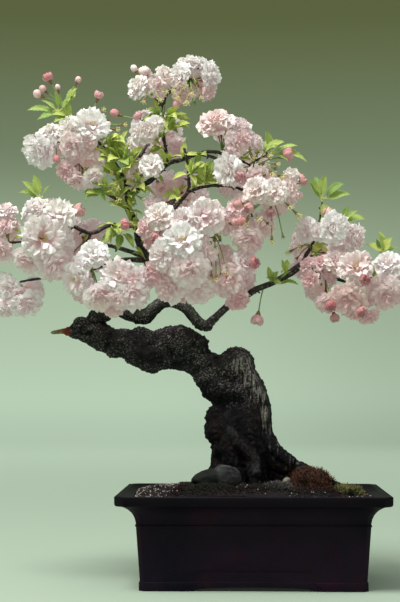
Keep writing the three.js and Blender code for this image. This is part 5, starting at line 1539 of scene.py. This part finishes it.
# Smaller sprays along the twigs: the point on the wood, the way they grow, leaves and length.
SMALL_SPRAYS = [
    ((-204, 2, 585), (0.2, -0.6, 0.5), 4, 26), ((-187, 0, 561), (0.7, -0.8, 0.5), 4, 30),
    ((-120, -6, 597), (-0.3, -1, -0.4), 4, 26), ((-150, -10, 527), (-0.3, -1, 0.6), 4, 26),
    ((-131, -13, 541), (-0.2, -1, 0.5), 4, 24), ((-113, -16, 559), (-0.6, -0.9, 0.1), 4, 24),
    ((-168, -6, 512), (0.6, -1, 0.5), 4, 26), ((-151, 5, 450), (0.5, -1, 0.4), 3, 24),
    ((-70, -23, 573), (0.1, -0.9, -0.5), 4, 20), ((-96, -19, 564), (0.3, -0.9, 0.5), 3, 22),
    ((-173, -3, 535), (-0.3, -0.9, -0.2), 4, 22), ((-173, -3, 535), (0.8, -0.7, 0.6), 3, 28),
    ((-204, 2, 585), (0.8, -0.9, 0.0), 4, 40), ((-187, 0, 561), (0.9, -0.9, 0.3), 4, 42),
    ((-187, 0, 561), (0.1, -1, 0.6), 4, 36), ((-173, -3, 535), (-0.8, -0.8, 0.4), 4, 34),
    ((-66, -32, 527), (0.3, -0.8, 0.8), 5, 34), ((-30, -44, 528), (-0.2, -0.7, 0.8), 4, 30),
    ((-173, -3, 535), (0.5, -1, 0.9), 3, 38), ((-187, 0, 561), (-0.4, -1, 0.1), 3, 36),
    ((-157, 0, 477), (0.9, -0.8, 0.1), 3, 24), ((-140, 8, 427), (-0.6, -0.9, 0.3), 3, 24),
    ((-168, -6, 515), (0.3, -0.9, -0.4), 5, 20), ((-166, -5, 495), (0.5, -0.9, -0.2), 4, 20),
    ((-157, 0, 477), (0.2, -1, 0.2), 4, 18), ((-200, -12, 520), (-0.6, -0.6, -0.5), 3, 22),
    ((-218, -10, 527), (-0.4, -0.6, 0.8), 4, 24), ((-228, -4, 540), (-0.9, -0.5, 0.3), 3, 22),
    ((-238, 4, 596), (-0.3, -0.4, 0.9), 4, 28), ((-262, 4, 588), (-0.6, -0.4, 0.9), 4, 30),
    ((-240, 4, 618), (-0.9, -0.3, 0.4), 5, 30), ((-254, 4, 634), (0.6, -0.3, 0.9), 4, 26),
    ((-120, -6, 597), (0.8, -0.6, 0.5), 5, 34), ((-121, -2, 622), (0.6, -0.8, -0.2), 4, 34),
    ((-121, -2, 622), (-0.7, -0.7, 0.5), 4, 26), ((-117, -12, 579), (-0.8, -0.7, 0.2), 4, 26),
    ((-113, -16, 559), (0.3, -0.9, 0.5), 3, 22), ((-86, -26, 540), (0.5, -0.8, 0.4), 5, 28),
    ((-86, -22, 523), (0.8, -0.7, 0.3), 4, 26), ((-95, -20, 510), (-0.5, -0.8, 0.3), 3, 22),
    ((-66, -32, 527), (0.1, -0.6, 0.9), 4, 26), ((-2, -30, 556), (0.3, -0.5, 0.9), 4, 28),
    ((11, -28, 566), (0.6, -0.5, 0.8), 4, 30), ((-17, -30, 563), (0.3, -0.9, 0.1), 3, 20),
    ((22, -58, 512), (0.9, -0.5, 0.4), 3, 24), ((-177, -8, 474), (-0.2, -0.8, -0.8), 4, 28),
    ((-191, -16, 476), (0.4, -0.8, -0.7), 4, 26), ((-268, -38, 468), (-0.2, -0.6, 0.9), 3, 24),
    ((-298, -34, 456), (-0.7, -0.6, 0.5), 3, 22), ((-260, -4, 407), (-0.2, -0.7, 0.7), 3, 18),
    ((-68, -32, 460), (0.9, -0.9, 0.2), 4, 28), ((48, -35, 407), (-0.5, -0.4, 0.8), 3, 22),
    ((22, -34, 395), (0.6, -0.6, 0.7), 3, 18), ((79, -26, 446), (0.9, -0.5, 0.5), 3, 22),
    ((90, -20, 480), (0.8, -0.3, 0.5), 4, 24), ((94, -18, 506), (-0.5, -0.2, 0.8), 3, 26),
    ((132, -41, 398), (0.3, -0.5, 0.9), 3, 20), ((158, -32, 400), (0.7, -0.5, 0.7), 3, 24),
    ((171, -25, 434), (0.7, -0.4, 0.7), 4, 26), ((-180, -8, 508), (0.1, -0.9, 0.6), 4, 26),
    ((-200, -12, 520), (0.3, -0.9, 0.5), 4, 24), ((-168, -6, 515), (-0.7, -0.7, 0.3), 4, 26),
    ((-166, -5, 495), (-0.6, -0.8, 0.2), 4, 24), ((-150, -10, 527), (0.2, -0.9, -0.3), 4, 22),
    ((-157, 0, 477), (-0.8, -0.8, 0.4), 3, 22), ((-102, 104, 512), (0.2, 0.6, 0.8), 4, 28),
    ((-132, 76, 596), (0.1, 0.6, 0.8), 4, 28), ((-222, 82, 452), (-0.5, 0.6, 0.6), 4, 26),
    ((80, 48, 434), (0.5, 0.6, 0.6), 4, 26), ((-14, 60, 549), (0.4, 0.6, 0.7), 4, 26),
    ((-212, 42, 588), (-0.2, 0.7, 0.7), 4, 26),
]

bm = bmesh.new()
for base, way, count, length in SMALL_SPRAYS:
    way = Vector(way).normalized()
    root = place(base)
    heart = root + way * length * 0.3
    add_part(bm, tubes([[(root, 1.1), (heart, 0.8)]], 1, 2))
    for _ in range(count):
        out = (way + scatter(dice, 0.55)).normalized()
        tip = heart + out * length * dice.uniform(0.75, 1.15)
        half_width = length * dice.uniform(0.17, 0.27)
        add_part(bm, leaf(dice, heart, tip, half_width, dice.uniform(0, 0.7)))
finish_piece(bm, "small_sprays", foliage.material, "leaf_and_stalk")

# Moss -----------------------------------------------------------------------------------------
# Cushions of living moss grow on the soil and over the roots: a rusty one on the right root, a
# yellow-green one with taller shoots, grey lichen moss, and an olive patch under the trunk.

MOSSES = {
    "rust_moss": {
        "node": "rust_moss_mound", "centre": (74, -35, 128), "halves": (30, 26, 22.5),
        "shoots": 1500, "length": 4.6, "dark": (20, 11, 9), "light": (110, 70, 48),
    },
    "green_moss": {
        "node": "green_moss_tuft", "centre": (122, -32, 117), "halves": (20, 26, 10),
        "shoots": 800, "length": 6, "dark": (14, 14, 9), "light": (132, 128, 78),
    },
    "grey_moss": {
        "node": "grey_lichen_moss", "centre": (32, -72, 127), "halves": (18, 12, 8),
        "shoots": 700, "length": 3, "dark": (9, 8, 9), "light": (104, 102, 98),
    },
    "olive_moss": {
        "node": "olive_moss_patch", "centre": (-66, -24, 126), "halves": (22, 20, 6.5),
        "shoots": 800, "length": 2.4, "dark": (22, 24, 16), "light": (74, 78, 50),
    },
}

bm = bmesh.new()
bmesh.ops.create_cone(bm, cap_ends=True, segments=3, radius1=0.55, radius2=0.1, depth=1)
moss_shoot = mesh_from(bm, "moss_shoot")

dice = random.Random(14)
for name, moss in MOSSES.items():
    centre = Vector(moss["centre"])
    bm = bmesh.new()
    shade_layer = bm.verts.layers.float.new("shade")
    bmesh.ops.create_icosphere(bm, subdivisions=4, radius=1)
    for vert in bm.verts:
        knobs = noise.noise(vert.co * 2.2 + centre) * 0.22 + noise.noise(vert.co * 6) * 0.12
        vert.co = centre + vert.co * Vector(moss["halves"]) * (1 + knobs)
        vert[shade_layer] = 0.15
    bm.normal_update()
    base = [(vert.co.copy(), vert.normal.copy()) for vert in bm.verts if vert.normal.z > -0.2]
    for _ in range(moss["shoots"]):
        at, out = dice.choice(base)
        out = (out + scatter(dice, 0.4) + Vector((0, 0, 0.3))).normalized()
        length = moss["length"] * dice.uniform(0.5, 1.5)
        spot = at + Vector([dice.uniform(-1, 1) for _ in "xyz"]) + out * length / 3
        grown = Matrix.Diagonal((1, 1, length, 1))
        add_copy(bm, moss_shoot, facing(spot, out, 1, 0) @ grown, shade=dice.uniform(0.3, 1))
    finish = Finish(name)
    shade = finish.attribute("shade")
    tuft = finish.grain(0.006, detail=3)
    colour = finish.mix(shade * tuft.band(0.25, 0.6), tone(*moss["dark"]), tone(*moss["light"]))
    finish.surface(base_color=colour, roughness=0.95, specular_ior_level=0.2)
    finish_piece(bm, f"{name}_cushion", finish.material, "moss", moss["node"])

# Low tufts cover the swells of the open soil.
bm = bmesh.new()
for middle, halves, rise, count, redness in SWELLS:
    for _ in range(count):
        x, y = (at + half * dice.gauss(0, 0.55) for at, half in zip(middle, halves))
        if abs(x) > SOIL_HALF_WIDTH - 3 or abs(y) > SOIL_HALF_DEPTH - 3:
            continue
        out = Vector((dice.gauss(0, 0.5), dice.gauss(0, 0.5), 1)).normalized()
        length = dice.uniform(1.5, 4.5)
        grown = Matrix.Diagonal((1.3, 1.3, length, 1))
        spot = Vector((x, y, soil_height(x, y) + 0.4 + length / 3))
        marks = {"shade": dice.uniform(0.2, 1), "red": redness + dice.uniform(-0.2, 0.2)}
        add_copy(bm, moss_shoot, facing(spot, out, 1, 0) @ grown, **marks)
finish = Finish("soil_moss")
shade = finish.attribute("shade")
red = finish.attribute("red")
low_tone = finish.mix(red.band(0.2, 0.8), tone(7, 8, 6), tone(12, 6, 7))
high_tone = finish.mix(red.band(0.2, 0.8), tone(42, 42, 33), tone(42, 24, 26))
colour = finish.mix(shade, low_tone, high_tone)
finish.surface(base_color=colour, roughness=0.95, specular_ior_level=0.2)
finish_piece(bm, "soil_moss", finish.material, "moss")

# Stones ---------------------------------------------------------------------------------------
# Two river stones lie together against the foot of the trunk as one low dome: a dark wedge that
# is green with algae, and a rounder grey one. A pale pebble lies at the front root.

STONES = {
    "dark_stone": {
        "nodes": ["dark_wedge_stone"], "centre": (-56, -72, 139), "halves": (23.5, 17, 17.5),
        "wedge": 0.5, "lean": (0, -0.1, 1), "dark": (4, 6, 4), "light": (22, 28, 22),
    },
    "grey_stone": {
        "nodes": ["round_grey_stone"], "centre": (-34, -74, 143), "halves": (19, 15, 18.5),
        "wedge": -0.15, "lean": (0.05, -0.1, 1), "dark": (18, 18, 20), "light": (68, 68, 68),
    },
    "pale_pebble": {
        "nodes": [], "centre": (43, -52, 134), "halves": (6, 5, 8),
        "wedge": 0.2, "lean": (0.3, -0.2, 1), "dark": (92, 88, 78), "light": (150, 146, 132),
    },
}

for number, (name, stone) in enumerate(STONES.items()):
    bm = bmesh.new()
    bmesh.ops.create_icosphere(bm, subdivisions=4, radius=1)
    for vert in bm.verts:
        broad = noise.noise(vert.co * 1.3 + Vector((number * 9, 4, 0))) * 0.16
        pit = noise.noise(vert.co * 9) * 0.03 + noise.noise(vert.co * 3.5) * 0.05
        flat = 1 - 0.25 * max(0, vert.co.z) ** 2
        thick = (1 + stone["wedge"] * vert.co.x) * flat
        vert.co = vert.co * Vector(stone["halves"]) * Vector((1, 1, thick)) * (1 + broad + pit)
    at = facing(stone["centre"], Vector(stone["lean"]), 1, 0)
    bmesh.ops.transform(bm, matrix=at, verts=bm.verts)
    finish = Finish(name)
    cloud = finish.grain(0.012, detail=4)
    fleck = finish.grain(0.0012, detail=2)
    scratch = finish.grain(0.004, detail=3, stretch=(2.5, 1, 0.6))
    share = cloud.band(0.4, 0.62) * 0.45 + fleck.band(0.45, 0.65) * 0.2
    share = share + scratch.band(0.5, 0.62) * 0.35
    finish.surface(
        base_color=finish.mix(share, tone(*stone["dark"]), tone(*stone["light"])),
        roughness=0.7 + 0.2 * fleck, specular_ior_level=0.2,
        normal=finish.bump(0.5 * fleck + 0.5 * scratch, 0.0008),
    )
    finish_piece(bm, name, finish.material, "stone", *stone["nodes"])
